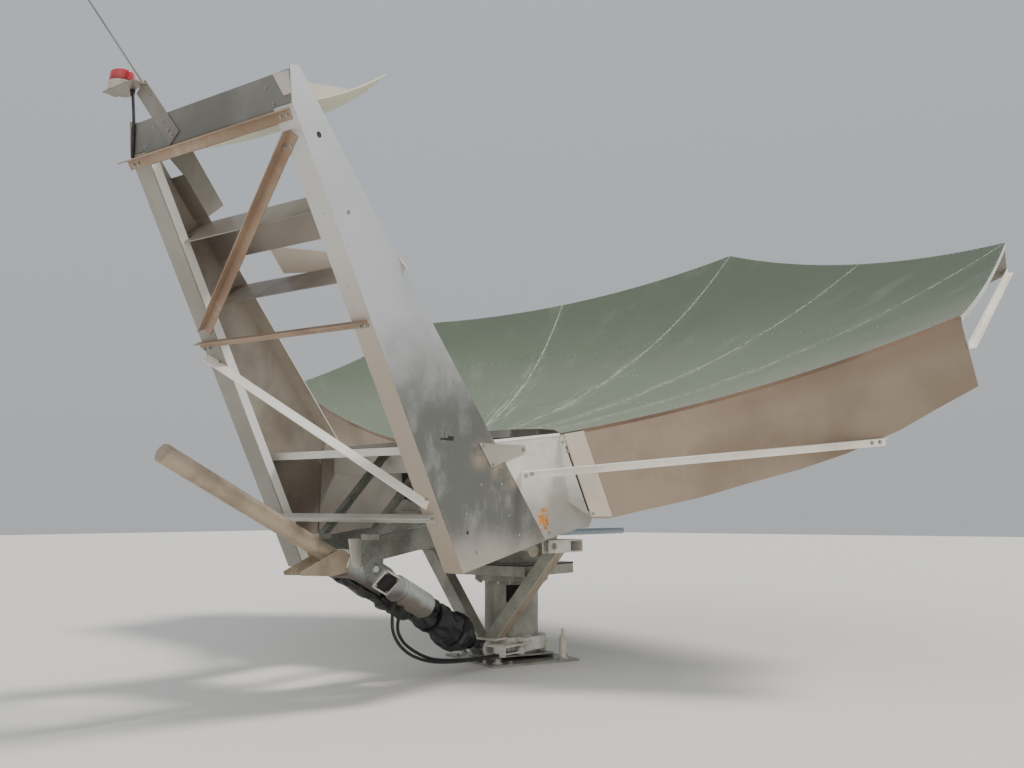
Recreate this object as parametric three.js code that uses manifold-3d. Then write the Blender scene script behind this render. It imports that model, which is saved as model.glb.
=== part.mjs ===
// Offset dual-reflector radio dish on a kingpost pedestal.
// Millimetres. Origin on the ground at the turning axis, +Z up, +X towards the main reflector.
// The XZ plane is the plane of symmetry; the near side is -Y and the far side is +Y.
import * as THREE from "three";
import { mergeVertices } from "three/addons/utils/BufferGeometryUtils.js";
import Module from "manifold-3d";

const wasm = await Module();
wasm.setup();

// Clearances
const SEAT = 0.3;
const RUNNING = 0.8;

// Boom: two leaning channel beams that hold the hub at the foot and the subreflector at the top
const HALF_AT_GROUND = 1006.25;
const LEAN = 0.02411;
const FRONT_X = -1552.6;
const FRONT_SLOPE = -0.5707;
const REAR_X = 218.7;
const REAR_SLOPE = -0.9166;
const WEB = 8;
const FLANGE_WIDE = 188;
const FRONT_LIP = 95;
const REAR_FLANGE = 181;
const BEAM_FOOT_Z = 967;
const FLANGE_TOP_Z = 4205;
const HUB_TOP_Z = 2095;
const REAR_FLANGE_TOP_Z = 4140;

// Main reflector: a dish with its vertex at the hub and six flat-sided panels
const VERTEX = new THREE.Vector3(-1058, 0, 2042);
const TILT = THREE.MathUtils.degToRad(11.884);
const FOCAL = 7899;
const SEAMS = [-62.84, -39.53, -20.18, 0, 20.18, 39.53, 62.84];
const RIM_MIDDLE = 7712;
const RIM_CORNER = 6640;
const RIM_SIDE = 4710;
const INNER_RADIUS = 1070;
const PANEL_THICK = 12;
const PANEL_ROWS = 10;
const PANEL_GAP = 4;
const SIDE_THICK = 12;
const RIB_THICK = 12;

// Hub
const HUB_PLATE = 10;
const HUB_OUT = WEB + SEAT;
const HUB_IN = HUB_OUT + HUB_PLATE + SEAT;
const DRUM_RADIUS = 1040;
const DRUM_THICK = 20;
const DRUM_DEEP = 550;

// Elevation axis and the tube that carries it
const PIVOT_X = -480;
const PIVOT_Z = 1134;
const PIN_R = 20;
const TUBE_X = -70;
const TUBE_WIDE = 240;
const TUBE_TOP = 1190;
const TUBE_BOTTOM = 1070;
const TUBE_END = 810;
const TUBE_WALL = 14;
const CLEVIS_IN = 725;
const CLEVIS_OUT = 810;
const CLEVIS_PLATE = 16;

// Pedestal
const KINGPOST_R = 270;
const KINGPOST_WALL = 12;
const KINGPOST_TOP = 800;
const BASE_RIB = 14;
const HEAD_FLANGE_R = 370;
const WINDOW_TURN = THREE.MathUtils.degToRad(42);
const COLLAR_FRONT = -360;
const SHELF_TOP = 200;
const SHELF_FRONT = -572;
const SHELF_BACK = 150;
const SHELF_WEB = 12;
const LEG_TOP_X = -365;
const LEG_TOP_Y = 735;
const LEG_FOOT_X = -440;
const LEG_FOOT_Y = 100;
const LEG_FOOT_Z = 252;
const LEG_DEEP = 75;
const LEG_HALF = 75;
const HEAD_FRONT = -450;
const HEAD_HALF = 460;
const HEAD_TOP = 950;
const BASE_TURN = THREE.MathUtils.degToRad(-25);
const BASE_HALF = 490;
const BASE_PLATE_TOP = 20;
const TOP_HALF = 310;
const TOP_PLATE_BOTTOM = 60;
const TOP_PLATE_TOP = 75;

// Elevation jack: foot pin on the turning collar, trunnion pin on the boom
const FOOT = new THREE.Vector3(-519, 0, 155);
const TRUNNION = new THREE.Vector3(-2340, 0, 992.4);
const SCREW_R = 30;
const BORE_R = 36;
const NUT_R = SCREW_R + 0.8;
const FOOT_LUG_R = 73;
const CHEEK_Y = 255;
const CHEEK_THICK = 16;
const TRUNNION_PIN_R = 28;
const TRUNNION_HOLE_R = 42;
const ARM_Y = 270;
const ARM_WIDE = 60;
const ARM_DEEP = 190;
const ARM_SLOPE = 0.134;
const GEAR_START = 1690;
const GEAR_HALF = 120;
const GEAR_SIDE = 115;
const STRUT_SLOPE = 0.927;
const MOTOR_START = 1235;
const MOTOR_R = 112;
const MOTOR_Y = -250;
const MOTOR_RISE = -35;
const REDUCER_END = 1895;
const REDUCER_TURN = THREE.MathUtils.degToRad(35);
const BOOT_R = 130;
const BOOT_RISE = -45;
const BOOT_END = 2070;
const CABLE_R = 12;

// Materials, from the photographed finishes
const SHEET_ALUMINIUM = { color: 0x9a9a95, roughness: 0.5, metalness: 0.6 };
const DULL_ALUMINIUM = { color: 0x8c8378, roughness: 0.6, metalness: 0.5 };
const GALVANISED = { color: 0x7d817b, roughness: 0.6, metalness: 0.6 };
const REFLECTOR_PAINT = { color: 0x6f8071, roughness: 0.7, metalness: 0.1 };
const CREAM_PAINT = { color: 0xe6e0bf, roughness: 0.5, metalness: 0 };
const GREY_PAINT = { color: 0x9ba0a0, roughness: 0.5, metalness: 0.2 };
const BLACK_SHEET = { color: 0x18191b, roughness: 0.6, metalness: 0 };
const STEEL = { color: 0x8f9296, roughness: 0.35, metalness: 0.9 };
const RED_GLASS = { color: 0xc8202c, roughness: 0.2, metalness: 0 };

const antenna = new THREE.Group();

function piece(name, geometry, finish) {
  const mesh = new THREE.Mesh(geometry, new THREE.MeshStandardMaterial(finish));
  mesh.name = name;
  antenna.add(mesh);
}

// Closed solids from points and triangles
function closed(points, triangles) {
  let volume = 0;
  for (const [a, b, c] of triangles) {
    volume += points[a].dot(points[b].clone().cross(points[c]));
  }
  const faces = volume < 0 ? triangles.map(([a, b, c]) => [a, c, b]) : triangles;
  const geometry = new THREE.BufferGeometry();
  geometry.setAttribute("position", new THREE.Float32BufferAttribute(points.flatMap((p) => p.toArray()), 3));
  geometry.setIndex(faces.flat());
  geometry.computeVertexNormals();
  return geometry;
}

function turned(ring, clockwise) {
  return THREE.ShapeUtils.isClockWise(ring) === clockwise ? ring : ring.slice().reverse();
}

// The solid between an outline placed at its start and the same outline placed at its end
function between(outline, placeStart, placeEnd, holes = []) {
  const rings = [turned(outline, false), ...holes.map((hole) => turned(hole, true))];
  const faces = THREE.ShapeUtils.triangulateShape(rings[0], rings.slice(1));
  const flat = rings.flat();
  const points = [...flat.map(placeStart), ...flat.map(placeEnd)];
  const triangles = [];
  for (const [a, b, c] of faces) {
    triangles.push([c, b, a], [a + flat.length, b + flat.length, c + flat.length]);
  }
  let first = 0;
  for (const ring of rings) {
    for (let i = 0; i < ring.length; i++) {
      const a = first + i;
      const b = first + (i + 1) % ring.length;
      triangles.push([a, b, b + flat.length], [a, b + flat.length, a + flat.length]);
    }
    first += ring.length;
  }
  return closed(points, triangles);
}

// A curved sheet: a grid of top points and the matching bottom points
function sheet(columns, rows, top, bottom) {
  const points = [];
  for (const face of [top, bottom]) {
    for (let i = 0; i <= columns; i++) {
      for (let j = 0; j <= rows; j++) {
        points.push(face(i / columns, j / rows));
      }
    }
  }
  const below = (columns + 1) * (rows + 1);
  const at = (i, j) => i * (rows + 1) + j;
  const triangles = [];
  for (let i = 0; i < columns; i++) {
    for (let j = 0; j < rows; j++) {
      const [a, b, c, d] = [at(i, j), at(i + 1, j), at(i + 1, j + 1), at(i, j + 1)];
      triangles.push([a, b, c], [a, c, d]);
      triangles.push([a + below, c + below, b + below], [a + below, d + below, c + below]);
    }
  }
  const edge = [];
  for (let i = 0; i < columns; i++) edge.push(at(i, 0));
  for (let j = 0; j < rows; j++) edge.push(at(columns, j));
  for (let i = columns; i > 0; i--) edge.push(at(i, rows));
  for (let j = rows; j > 0; j--) edge.push(at(0, j));
  edge.forEach((a, k) => {
    const b = edge[(k + 1) % edge.length];
    triangles.push([a, a + below, b + below], [a, b + below, b]);
  });
  return closed(points, triangles);
}

// Joining and cutting
function solidOf(geometry) {
  const bare = geometry.clone();
  bare.deleteAttribute("normal");
  bare.deleteAttribute("uv");
  const merged = mergeVertices(bare, 1e-3);
  return new wasm.Manifold(new wasm.Mesh({
    numProp: 3,
    vertProperties: new Float32Array(merged.attributes.position.array),
    triVerts: new Uint32Array(merged.index.array),
  }));
}

function geometryOf(solid) {
  const mesh = solid.getMesh();
  const geometry = new THREE.BufferGeometry();
  geometry.setAttribute("position", new THREE.BufferAttribute(new Float32Array(mesh.vertProperties), 3));
  geometry.setIndex(new THREE.BufferAttribute(new Uint32Array(mesh.triVerts), 1));
  geometry.computeVertexNormals();
  return geometry;
}

function joined(...parts) {
  return geometryOf(parts.map(solidOf).reduce((whole, part) => whole.add(part)));
}

function cut(body, ...tools) {
  return geometryOf(tools.map(solidOf).reduce((whole, tool) => whole.subtract(tool), solidOf(body)));
}

// Outlines
const at = (x, y) => new THREE.Vector2(x, y);
const along = (from, to, share) => from.clone().lerp(to, share);

function rectangle(x0, x1, y0, y1) {
  return [at(x0, y0), at(x1, y0), at(x1, y1), at(x0, y1)];
}

function circle(radius, sides, x = 0, y = 0) {
  return Array.from({ length: sides }, (_, i) => {
    const angle = (i + 0.5) * 2 * Math.PI / sides;
    return at(x + radius * Math.cos(angle), y + radius * Math.sin(angle));
  });
}

function arc(radius, from, to, steps) {
  return Array.from({ length: steps + 1 }, (_, i) => {
    const angle = THREE.MathUtils.degToRad(from + (to - from) * i / steps);
    return at(radius * Math.cos(angle), radius * Math.sin(angle));
  });
}

// A strip beside the line from a to b; offsets count towards the rear of an upward line
function strip(a, b, near, far) {
  const run = b.clone().sub(a).normalize();
  const side = at(run.y, -run.x);
  return [
    a.clone().addScaledVector(side, near),
    b.clone().addScaledVector(side, near),
    b.clone().addScaledVector(side, far),
    a.clone().addScaledVector(side, far),
  ];
}

function angleSection(wide, thick) {
  return [at(0, 0), at(wide, 0), at(wide, thick), at(thick, thick), at(thick, wide), at(0, wide)];
}

// Places: outlines in the XZ plane at a given y, or at a depth inside the leaning beam faces
const upright = (y) => (p) => new THREE.Vector3(p.x, y, p.y);
const level = (z) => (p) => new THREE.Vector3(p.x, p.y, z);
const halfWidth = (z) => HALF_AT_GROUND - LEAN * z;
const leaning = (side, depth) => (p) => new THREE.Vector3(p.x, side * (halfWidth(p.y) - depth), p.y);

const slab = (outline, y0, y1, holes = []) => between(outline, upright(y0), upright(y1), holes);
const plateOn = (side, outline, depth0, depth1) => (
  between(outline, leaning(side, depth0), leaning(side, depth1))
);
const across = (outline, depth) => between(outline, leaning(-1, depth), leaning(1, depth));
const layer = (outline, z0, z1, holes = []) => between(outline, level(z0), level(z1), holes);
const block = (x0, x1, y0, y1, z0, z1) => layer(rectangle(x0, x1, y0, y1), z0, z1);

function bar(section, from, to, up, holes = []) {
  const run = to.clone().sub(from).normalize();
  const side = up.clone().cross(run).normalize();
  const rise = run.clone().cross(side);
  const place = (end) => (p) => end.clone().addScaledVector(side, p.x).addScaledVector(rise, p.y);
  return between(section, place(from), place(to), holes);
}

const UP = new THREE.Vector3(0, 0, 1);
const point = (x, y, z) => new THREE.Vector3(x, y, z);
const sides = [["near", -1], ["far", 1]];

// Pedestal, fixed to the ground
function turnedSquare(half) {
  return rectangle(-half, half, -half, half).map((p) => p.rotateAround(at(0, 0), BASE_TURN));
}

function buildPedestal() {
  const parts = [
    layer(turnedSquare(BASE_HALF), 0, BASE_PLATE_TOP),
    layer(turnedSquare(TOP_HALF), TOP_PLATE_BOTTOM, TOP_PLATE_TOP),
  ];
  for (const x of [-TOP_HALF, TOP_HALF - BASE_RIB]) {
    const rib = rectangle(x, x + BASE_RIB, -TOP_HALF, TOP_HALF);
    const outline = rib.map((p) => p.rotateAround(at(0, 0), BASE_TURN));
    parts.push(layer(outline, BASE_PLATE_TOP - 1, TOP_PLATE_BOTTOM + 1));
  }
  piece("base_frame", joined(...parts), GALVANISED);

  const bore = circle(KINGPOST_R - KINGPOST_WALL, 32);
  const tube = layer(circle(KINGPOST_R, 32), TOP_PLATE_TOP + SEAT, KINGPOST_TOP, [bore]);
  const flange = layer(circle(HEAD_FLANGE_R, 32), KINGPOST_TOP - 22, KINGPOST_TOP, [bore]);
  const window = block(-330, -150, -85, 85, 570, 740);
  window.rotateZ(WINDOW_TURN);
  piece("kingpost", cut(joined(tube, flange), window), GALVANISED);
}

// Parts that turn in azimuth
function clevis(side) {
  const front = TUBE_X - TUBE_WIDE / 2 - SEAT;
  const profile = rectangle(PIVOT_X - 75, front, TUBE_BOTTOM, TUBE_TOP);
  const outerPlate = slab(profile, side * (CLEVIS_OUT - CLEVIS_PLATE), side * CLEVIS_OUT);
  const innerPlate = slab(profile, side * CLEVIS_IN, side * (CLEVIS_IN + CLEVIS_PLATE));
  const back = block(front - 20, front, side * CLEVIS_IN, side * CLEVIS_OUT, TUBE_BOTTOM, TUBE_TOP);
  const pin = slab(circle(PIN_R, 16, PIVOT_X, PIVOT_Z), side * (CLEVIS_IN - 8), side * (CLEVIS_OUT + 14));
  return joined(outerPlate, innerPlate, back, pin);
}

function buildAzimuthHead() {
  const flange = layer(circle(HEAD_FLANGE_R, 32), KINGPOST_TOP + RUNNING, KINGPOST_TOP + 40);
  const drum = layer(circle(300, 32), KINGPOST_TOP + 30, TUBE_BOTTOM - SEAT);
  const box = block(HEAD_FRONT, -HEAD_FRONT, -HEAD_HALF, HEAD_HALF, KINGPOST_TOP + 39, HEAD_TOP);
  piece("azimuth_head", joined(flange, drum, box), GALVANISED);

  const outside = rectangle(TUBE_X - TUBE_WIDE / 2, TUBE_X + TUBE_WIDE / 2, TUBE_BOTTOM, TUBE_TOP);
  const inside = rectangle(TUBE_X - TUBE_WIDE / 2 + TUBE_WALL, TUBE_X + TUBE_WIDE / 2 - TUBE_WALL,
    TUBE_BOTTOM + TUBE_WALL, TUBE_TOP - TUBE_WALL);
  piece("cross_tube", slab(outside, -TUBE_END, TUBE_END, [inside]), GALVANISED);

  for (const [word, side] of sides) {
    piece(`pin_clevis_${word}`, clevis(side), GALVANISED);
    const top = (p) => point(p.x + LEG_TOP_X, side * (LEG_TOP_Y + p.y), TUBE_BOTTOM - SEAT);
    const bottom = (p) => point(p.x + LEG_FOOT_X, side * (LEG_FOOT_Y + p.y), LEG_FOOT_Z + SEAT);
    const section = rectangle(-LEG_DEEP, LEG_DEEP, -LEG_HALF, LEG_HALF);
    piece(`leg_${word}`, between(section, top, bottom), GALVANISED);
  }
  buildJackFoot();
  buildAzimuthDrive();
}

// The low collar runs round the kingpost and carries the legs and the jack's foot pin
function buildJackFoot() {
  const low = 120;
  const high = 240;
  const ring = layer(circle(345, 32), low, high);
  const seat = block(COLLAR_FRONT, -200, -200, 200, low, high);
  const bore = layer(circle(KINGPOST_R + 8, 32), low - 40, high + 20);
  const footPlate = block(-530, COLLAR_FRONT + 20, -185, 185, 234, LEG_FOOT_Z);
  const body = [ring, seat, footPlate];
  for (const [, side] of sides) {
    body.push(block(SHELF_FRONT, SHELF_BACK, side * 90, side * 325, SHELF_TOP - 20, SHELF_TOP));
    for (const x of [SHELF_FRONT, SHELF_BACK - SHELF_WEB]) {
      body.push(block(x, x + SHELF_WEB, side * 195, side * 320, 95, SHELF_TOP - 10));
    }
  }
  const parts = [cut(joined(...body), bore)];
  const lug = [
    at(COLLAR_FRONT + 5, FOOT.z - FOOT_LUG_R),
    at(COLLAR_FRONT + 5, FOOT.z + FOOT_LUG_R),
    ...arc(FOOT_LUG_R, 90, 270, 10).map((p) => p.add(at(FOOT.x, FOOT.z))),
  ];
  const lugTop = rectangle(-530, COLLAR_FRONT + 5, FOOT.z, 240);
  for (const [, side] of sides) {
    parts.push(slab(lug, side * 75, side * 97), slab(lugTop, side * 76, side * 96));
  }
  parts.push(slab(circle(PIN_R, 16, FOOT.x, FOOT.z), -108, 108));
  piece("jack_foot", joined(...parts), GALVANISED);
}

function buildAzimuthDrive() {
  const y = -550;
  const front = TUBE_X - TUBE_WIDE / 2 - SEAT;
  const mount = block(front - 16, front, y - 75, y + 75, TUBE_BOTTOM - 20, TUBE_TOP - 10);
  const body = bar(circle(58, 16), point(front - 10, y, 1085), point(front - 250, y, 1085), UP);
  const gear = block(front - 120, front - 8, y - 58, y + 66, 1020, 1150);
  piece("azimuth_motor", joined(mount, body, gear), GREY_PAINT);
  const tubeY = -450;
  const tubeZ = 1250;
  const saddle = block(-130, -10, tubeY - 50, tubeY + 50, TUBE_TOP + SEAT, tubeZ);
  const jackTube = bar(circle(32.5, 16), point(-165, tubeY, tubeZ), point(1530, tubeY, tubeZ), UP);
  piece("azimuth_jack_tube", joined(saddle, jackTube), GREY_PAINT);
}

// Hub between the beams, turning on the elevation pins
const frontPoint = (z) => at(FRONT_X + FRONT_SLOPE * z, z);
const rearPoint = (z) => at(REAR_X + REAR_SLOPE * z, z);

function elevationLug(side) {
  const reach = 56;
  const profile = [
    at(-640, 1282),
    at(PIVOT_X - reach, PIVOT_Z),
    at(PIVOT_X - reach * 0.7, PIVOT_Z - reach * 0.7),
    at(PIVOT_X, PIVOT_Z - reach),
    at(PIVOT_X + reach * 0.7, PIVOT_Z - reach * 0.7),
    at(PIVOT_X + reach, PIVOT_Z),
    at(-350, 1282),
  ];
  const hole = circle(PIN_R + 1, 16, PIVOT_X, PIVOT_Z);
  return slab(profile, side * 749, side * 786, [hole]);
}

function buildHub() {
  const outline = [
    at(-1760, 2040), at(-1640, 2054), at(-595, 2179), at(-29, 1395), at(-93, 1310), at(-319, 1294),
    at(-900, 1200), at(-1600, 1095), at(-1760, 1300),
  ];
  for (const [word, side] of sides) {
    piece(`hub_plate_${word}`, plateOn(side, outline, HUB_OUT, HUB_OUT + HUB_PLATE), SHEET_ALUMINIUM);
  }
  const box = across(rectangle(-750, -330, 1275, 1462), HUB_IN);
  piece("hub_cross_box", joined(box, elevationLug(-1), elevationLug(1)), GALVANISED);

  const frontDeck = across(rectangle(-2410, -1775, 1955, 1963), HUB_OUT);
  const rearDeck = across(rectangle(-1790, -1592, 1955, 1963), HUB_IN);
  const frontEdge = across(rectangle(-2410, -2402, 1900, 1960), HUB_OUT);
  const channel = across(rectangle(-1600, -1592, 1800, 1960), HUB_IN);
  piece("hub_deck", joined(frontDeck, rearDeck, frontEdge, channel), SHEET_ALUMINIUM);
}

// Beams; the plates of each are stepped by STEP at the corners where they join
const STEP = 1;

function beam(side) {
  const inset = at(STEP, 0);
  const web = plateOn(side, [
    frontPoint(BEAM_FOOT_Z + STEP).add(inset), rearPoint(1200).sub(inset), rearPoint(4145).sub(inset),
    at(-3810, 4410), at(-3900, 4500), at(-3980, 4480), frontPoint(4212).add(inset),
  ], 0, WEB);
  const foot = frontPoint(BEAM_FOOT_Z);
  const top = frontPoint(FLANGE_TOP_Z);
  const flange = plateOn(side, strip(foot, top, 0, WEB), WEB / 2, FLANGE_WIDE);
  const lipFoot = frontPoint(BEAM_FOOT_Z + STEP);
  const lipTop = frontPoint(FLANGE_TOP_Z - STEP);
  const lipIn = FLANGE_WIDE - STEP;
  const lip = plateOn(side, strip(lipFoot, lipTop, WEB / 2, FRONT_LIP), lipIn - WEB, lipIn);
  const rearStrip = strip(rearPoint(HUB_TOP_Z), rearPoint(REAR_FLANGE_TOP_Z), -WEB, 0);
  const rearFlange = plateOn(side, rearStrip, WEB / 2, REAR_FLANGE);
  return joined(web, flange, lip, rearFlange);
}

// Points on the outer face of the front flanges, by their y and z
function frontFace(y, z, out) {
  const p = frontPoint(z);
  const run = at(FRONT_SLOPE, 1).normalize();
  return point(p.x - run.y * out, y, p.y + run.x * out);
}

// An angle on the front faces: its corner is the upper edge, one leg lies down the face, one stands out
function frontAngle(y0, z0, y1, z1, tall, out = tall) {
  const run = at(FRONT_SLOPE, 1).normalize();
  const outward = point(-run.y, 0, run.x);
  const thick = 9;
  const section = [at(0, 0), at(tall, 0), at(tall, thick), at(thick, thick), at(thick, out), at(0, out)];
  return bar(section, frontFace(y0, z0, SEAT), frontFace(y1, z1, SEAT), outward);
}

function buildFront() {
  for (const [word, side] of sides) piece(`boom_beam_${word}`, beam(side), SHEET_ALUMINIUM);
  piece("angle_top", frontAngle(-858, 4189, 951, 4189, 80, 100), DULL_ALUMINIUM);
  piece("angle_upper_diagonal", frontAngle(-800, 4068, 846, 2950, 80), DULL_ALUMINIUM);
  piece("angle_middle", frontAngle(-894, 2836, 967, 2854, 55, 70), DULL_ALUMINIUM);
  piece("angle_lower_diagonal", frontAngle(-896, 1532, 905, 2748, 90), DULL_ALUMINIUM);
  piece("angle_bottom", frontAngle(-889, 1432, 864, 1442, 75), DULL_ALUMINIUM);
}

// Members between the beams
// A channel with one wall behind the rear line and a deep flange running to the front line
function rearChannel(topZ, deep, low) {
  const top = rearPoint(topZ);
  const run = at(REAR_SLOPE, 1).normalize();
  const forward = at(-run.y, run.x);
  const inner = WEB + SEAT;
  const start = top.clone().addScaledVector(forward, inner);
  const end = top.clone().addScaledVector(forward, deep);
  const bottom = start.clone().addScaledVector(run, -low);
  const wall = across(strip(bottom, start, -WEB, 0), WEB + SEAT);
  const clear = top.clone().addScaledVector(forward, deep - FRONT_LIP - 30);
  const flange = across(strip(start, clear, 0, WEB), WEB + SEAT);
  const nose = across(strip(clear.clone().addScaledVector(forward, -20), end, 0, WEB), FLANGE_WIDE + SEAT);
  return joined(wall, flange, nose);
}

function buildCrossMembers() {
  const inner = FLANGE_WIDE + SEAT;
  const topPlate = across(rectangle(-3952, -3944, 4215, 4467), WEB + SEAT);
  const topStep = across(rectangle(-3952, -3944, 4200, 4216), inner);
  const topSkirt = across(strip(frontPoint(4115), frontPoint(4204), 0, WEB), inner);
  piece("top_cross_plate", joined(topPlate, topStep, topSkirt), SHEET_ALUMINIUM);
  piece("cross_channel_upper", rearChannel(3820, 360, 340), SHEET_ALUMINIUM);
  piece("cross_channel_lower", rearChannel(3373, 300, 130), SHEET_ALUMINIUM);

  const run = at(REAR_SLOPE, 1).normalize();
  const behind = at(run.y, -run.x);
  const onRear = (out) => (p) => {
    const q = rearPoint(p.y).addScaledVector(behind, out);
    return point(q.x, p.x, q.y);
  };
  const outline = [at(290, 3590), at(-930, 3352), at(-957, 3283), at(290, 3400)];
  piece("feed_plate", between(outline, onRear(SEAT), onRear(10)), SHEET_ALUMINIUM);
}

// Subreflector: a shallow curved shell leaning out over the dish
const SUB_CENTRE = point(-3250, 0, 4440);
const SUB_PITCH = THREE.MathUtils.degToRad(31);
const SUB_THICK = 38;
const ARM_PROUD = 180;
const ARM_DEPTH = 190;

function subPoint(s, y, lift) {
  const bend = s * s / (2 * 4500) + y * y / (2 * 2600) + lift;
  const sin = Math.sin(SUB_PITCH);
  const cos = Math.cos(SUB_PITCH);
  return point(SUB_CENTRE.x + s * cos - bend * sin, y, SUB_CENTRE.z + s * sin + bend * cos);
}

function buildSubreflector() {
  const back = -560;
  const tip = 640;
  const wide = 760;
  const place = (lift, grow = 0) => (u, v) => {
    const y = (2 * v - 1) * (wide + grow);
    const trim = 90 * Math.pow(Math.abs(2 * v - 1), 4) - grow;
    return subPoint(back + trim + u * (tip - back - 2 * trim), y, lift);
  };
  piece("subreflector", sheet(8, 10, place(SUB_THICK), place(0)), CREAM_PAINT);

  // Each arm is fixed inside a beam and hooks over the shell's root to hold its back
  const room = sheet(8, 10, place(SUB_THICK + 2 * SEAT, 1), place(-2 * SEAT, 1));
  const inset = WEB + SEAT;
  const low = rearPoint(3860);
  const high = rearPoint(4130);
  const run = at(REAR_SLOPE, 1).normalize();
  const behind = at(run.y, -run.x);
  const core = (s) => {
    const q = subPoint(s, halfWidth(4400) - ARM_DEPTH, SUB_THICK / 2);
    return at(q.x, q.z);
  };
  const outline = [
    low.clone().addScaledVector(behind, -inset - WEB),
    low.clone().addScaledVector(behind, ARM_PROUD),
    rearPoint(4200).addScaledVector(behind, ARM_PROUD),
    core(-290), core(-120), core(50), at(-3239, 4621), at(-3667, 4514), at(-3880, 4460), at(-3870, 4320),
    high.clone().addScaledVector(behind, -inset - WEB),
  ];
  for (const [word, side] of sides) {
    const wall = cut(plateOn(side, outline, ARM_DEPTH - WEB, ARM_DEPTH), room);
    const flange = plateOn(side, strip(low, high, -inset - WEB, -inset), inset, ARM_DEPTH);
    piece(`subreflector_arm_${word}`, joined(wall, flange), SHEET_ALUMINIUM);
  }
}

// Beacon and lightning rod: a flat bar on the top cross plate leans out towards the far side
const BAR_FACE = -3952 - SEAT;

function buildBeacon() {
  const low = at(356, 4235);
  const high = at(806, 4755);
  const onFace = (out) => (p) => point(BAR_FACE - out, p.x, p.y);
  const flat = between(strip(low, high, -68, 68), onFace(0), onFace(10));
  const shelf = block(-4070, BAR_FACE, 735, 1145, 4752, 4762);
  const puck = layer(circle(88, 20, BAR_FACE - 20, 1040), 4760, 4838);
  const reach = high.clone().sub(low).normalize();
  const place = (share) => point(BAR_FACE - 8, high.x - 20 + reach.x * share, high.y + 30 + reach.y * share);
  const rod = bar(circle(9, 8), place(-180), place(1400), point(1, 0, 0));
  piece("beacon_bracket", joined(flat, shelf, puck, rod), SHEET_ALUMINIUM);
  const foot = 4838 + SEAT;
  const lens = [at(0, foot), at(84, foot), at(88, 4850), at(85, 4905), at(60, 4932), at(0, 4942)];
  const glass = new THREE.LatheGeometry(lens, 20);
  glass.rotateX(Math.PI / 2);
  glass.translate(BAR_FACE - 20, 1040, 0);
  piece("beacon_lens", glass, RED_GLASS);
}

// Main reflector
const AXIS = point(-Math.sin(TILT), 0, Math.cos(TILT));
const ACROSS = point(Math.cos(TILT), 0, Math.sin(TILT));
const radians = THREE.MathUtils.degToRad;
const dishHeight = (r) => r * r / (4 * FOCAL);

// A place by its plan position (u, v) on the dish and its height above the vertex plane
function dishPlace(u, v, height) {
  return VERTEX.clone().addScaledVector(ACROSS, u).addScaledVector(AXIS, height).setY(v);
}

// Plan point at a radius on a seam, moved sideways by shift
function onSeam(radius, seam, shift) {
  return at(radius, shift).rotateAround(at(0, 0), radians(seam));
}

// Rim radius at a seam: the rim is straight between its five corners
function rimRadius(seam) {
  const turn = Math.abs(seam);
  const corners = [[0, RIM_MIDDLE], [SEAMS[5], RIM_CORNER], [SEAMS[6], RIM_SIDE]];
  const k = turn <= SEAMS[5] ? 0 : 1;
  const [a, b] = [onSeam(corners[k][1], corners[k][0], 0), onSeam(corners[k + 1][1], corners[k + 1][0], 0)];
  const ray = onSeam(1, turn, 0);
  const run = b.clone().sub(a);
  return (a.x * run.y - a.y * run.x) / (ray.x * run.y - ray.y * run.x);
}

function panel(k) {
  const [from, to] = [SEAMS[k], SEAMS[k + 1]];
  const gap = PANEL_GAP / 2;
  const inner = [onSeam(INNER_RADIUS, from, gap), onSeam(INNER_RADIUS, to, -gap)];
  const outer = [onSeam(rimRadius(from), from, gap), onSeam(rimRadius(to), to, -gap)];
  const place = (drop) => (u, v) => {
    const p = along(along(inner[0], outer[0], u), along(inner[1], outer[1], u), v);
    return dishPlace(p.x, p.y, dishHeight(p.length()) - drop);
  };
  return sheet(PANEL_ROWS, 4, place(0), place(PANEL_THICK));
}

// An upright plate in a seam's plane; its outline is in radius and height
function seamPlate(outline, seam, shift0, shift1) {
  const place = (shift) => (p) => {
    const q = onSeam(p.x, seam, shift);
    return dishPlace(q.x, q.y, p.y);
  };
  return between(outline, place(shift0), place(shift1));
}

// The line just under the panels along a seam, with a point under each row of the panels
function underPanels(seam, first, last) {
  const step = (rimRadius(seam) - INNER_RADIUS) / PANEL_ROWS;
  const rows = Array.from({ length: PANEL_ROWS + 1 }, (_, i) => INNER_RADIUS + step * i);
  const inside = rows.filter((r) => r > first && r < last);
  return [first, ...inside, last].map((r) => {
    const k = Math.max(0, rows.findIndex((row, i) => i < PANEL_ROWS && r <= rows[i + 1]));
    const share = (r - rows[k]) / (rows[k + 1] - rows[k]);
    const height = THREE.MathUtils.lerp(dishHeight(rows[k]), dishHeight(rows[k + 1]), share);
    return at(r, height - PANEL_THICK - SEAT);
  });
}

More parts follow.
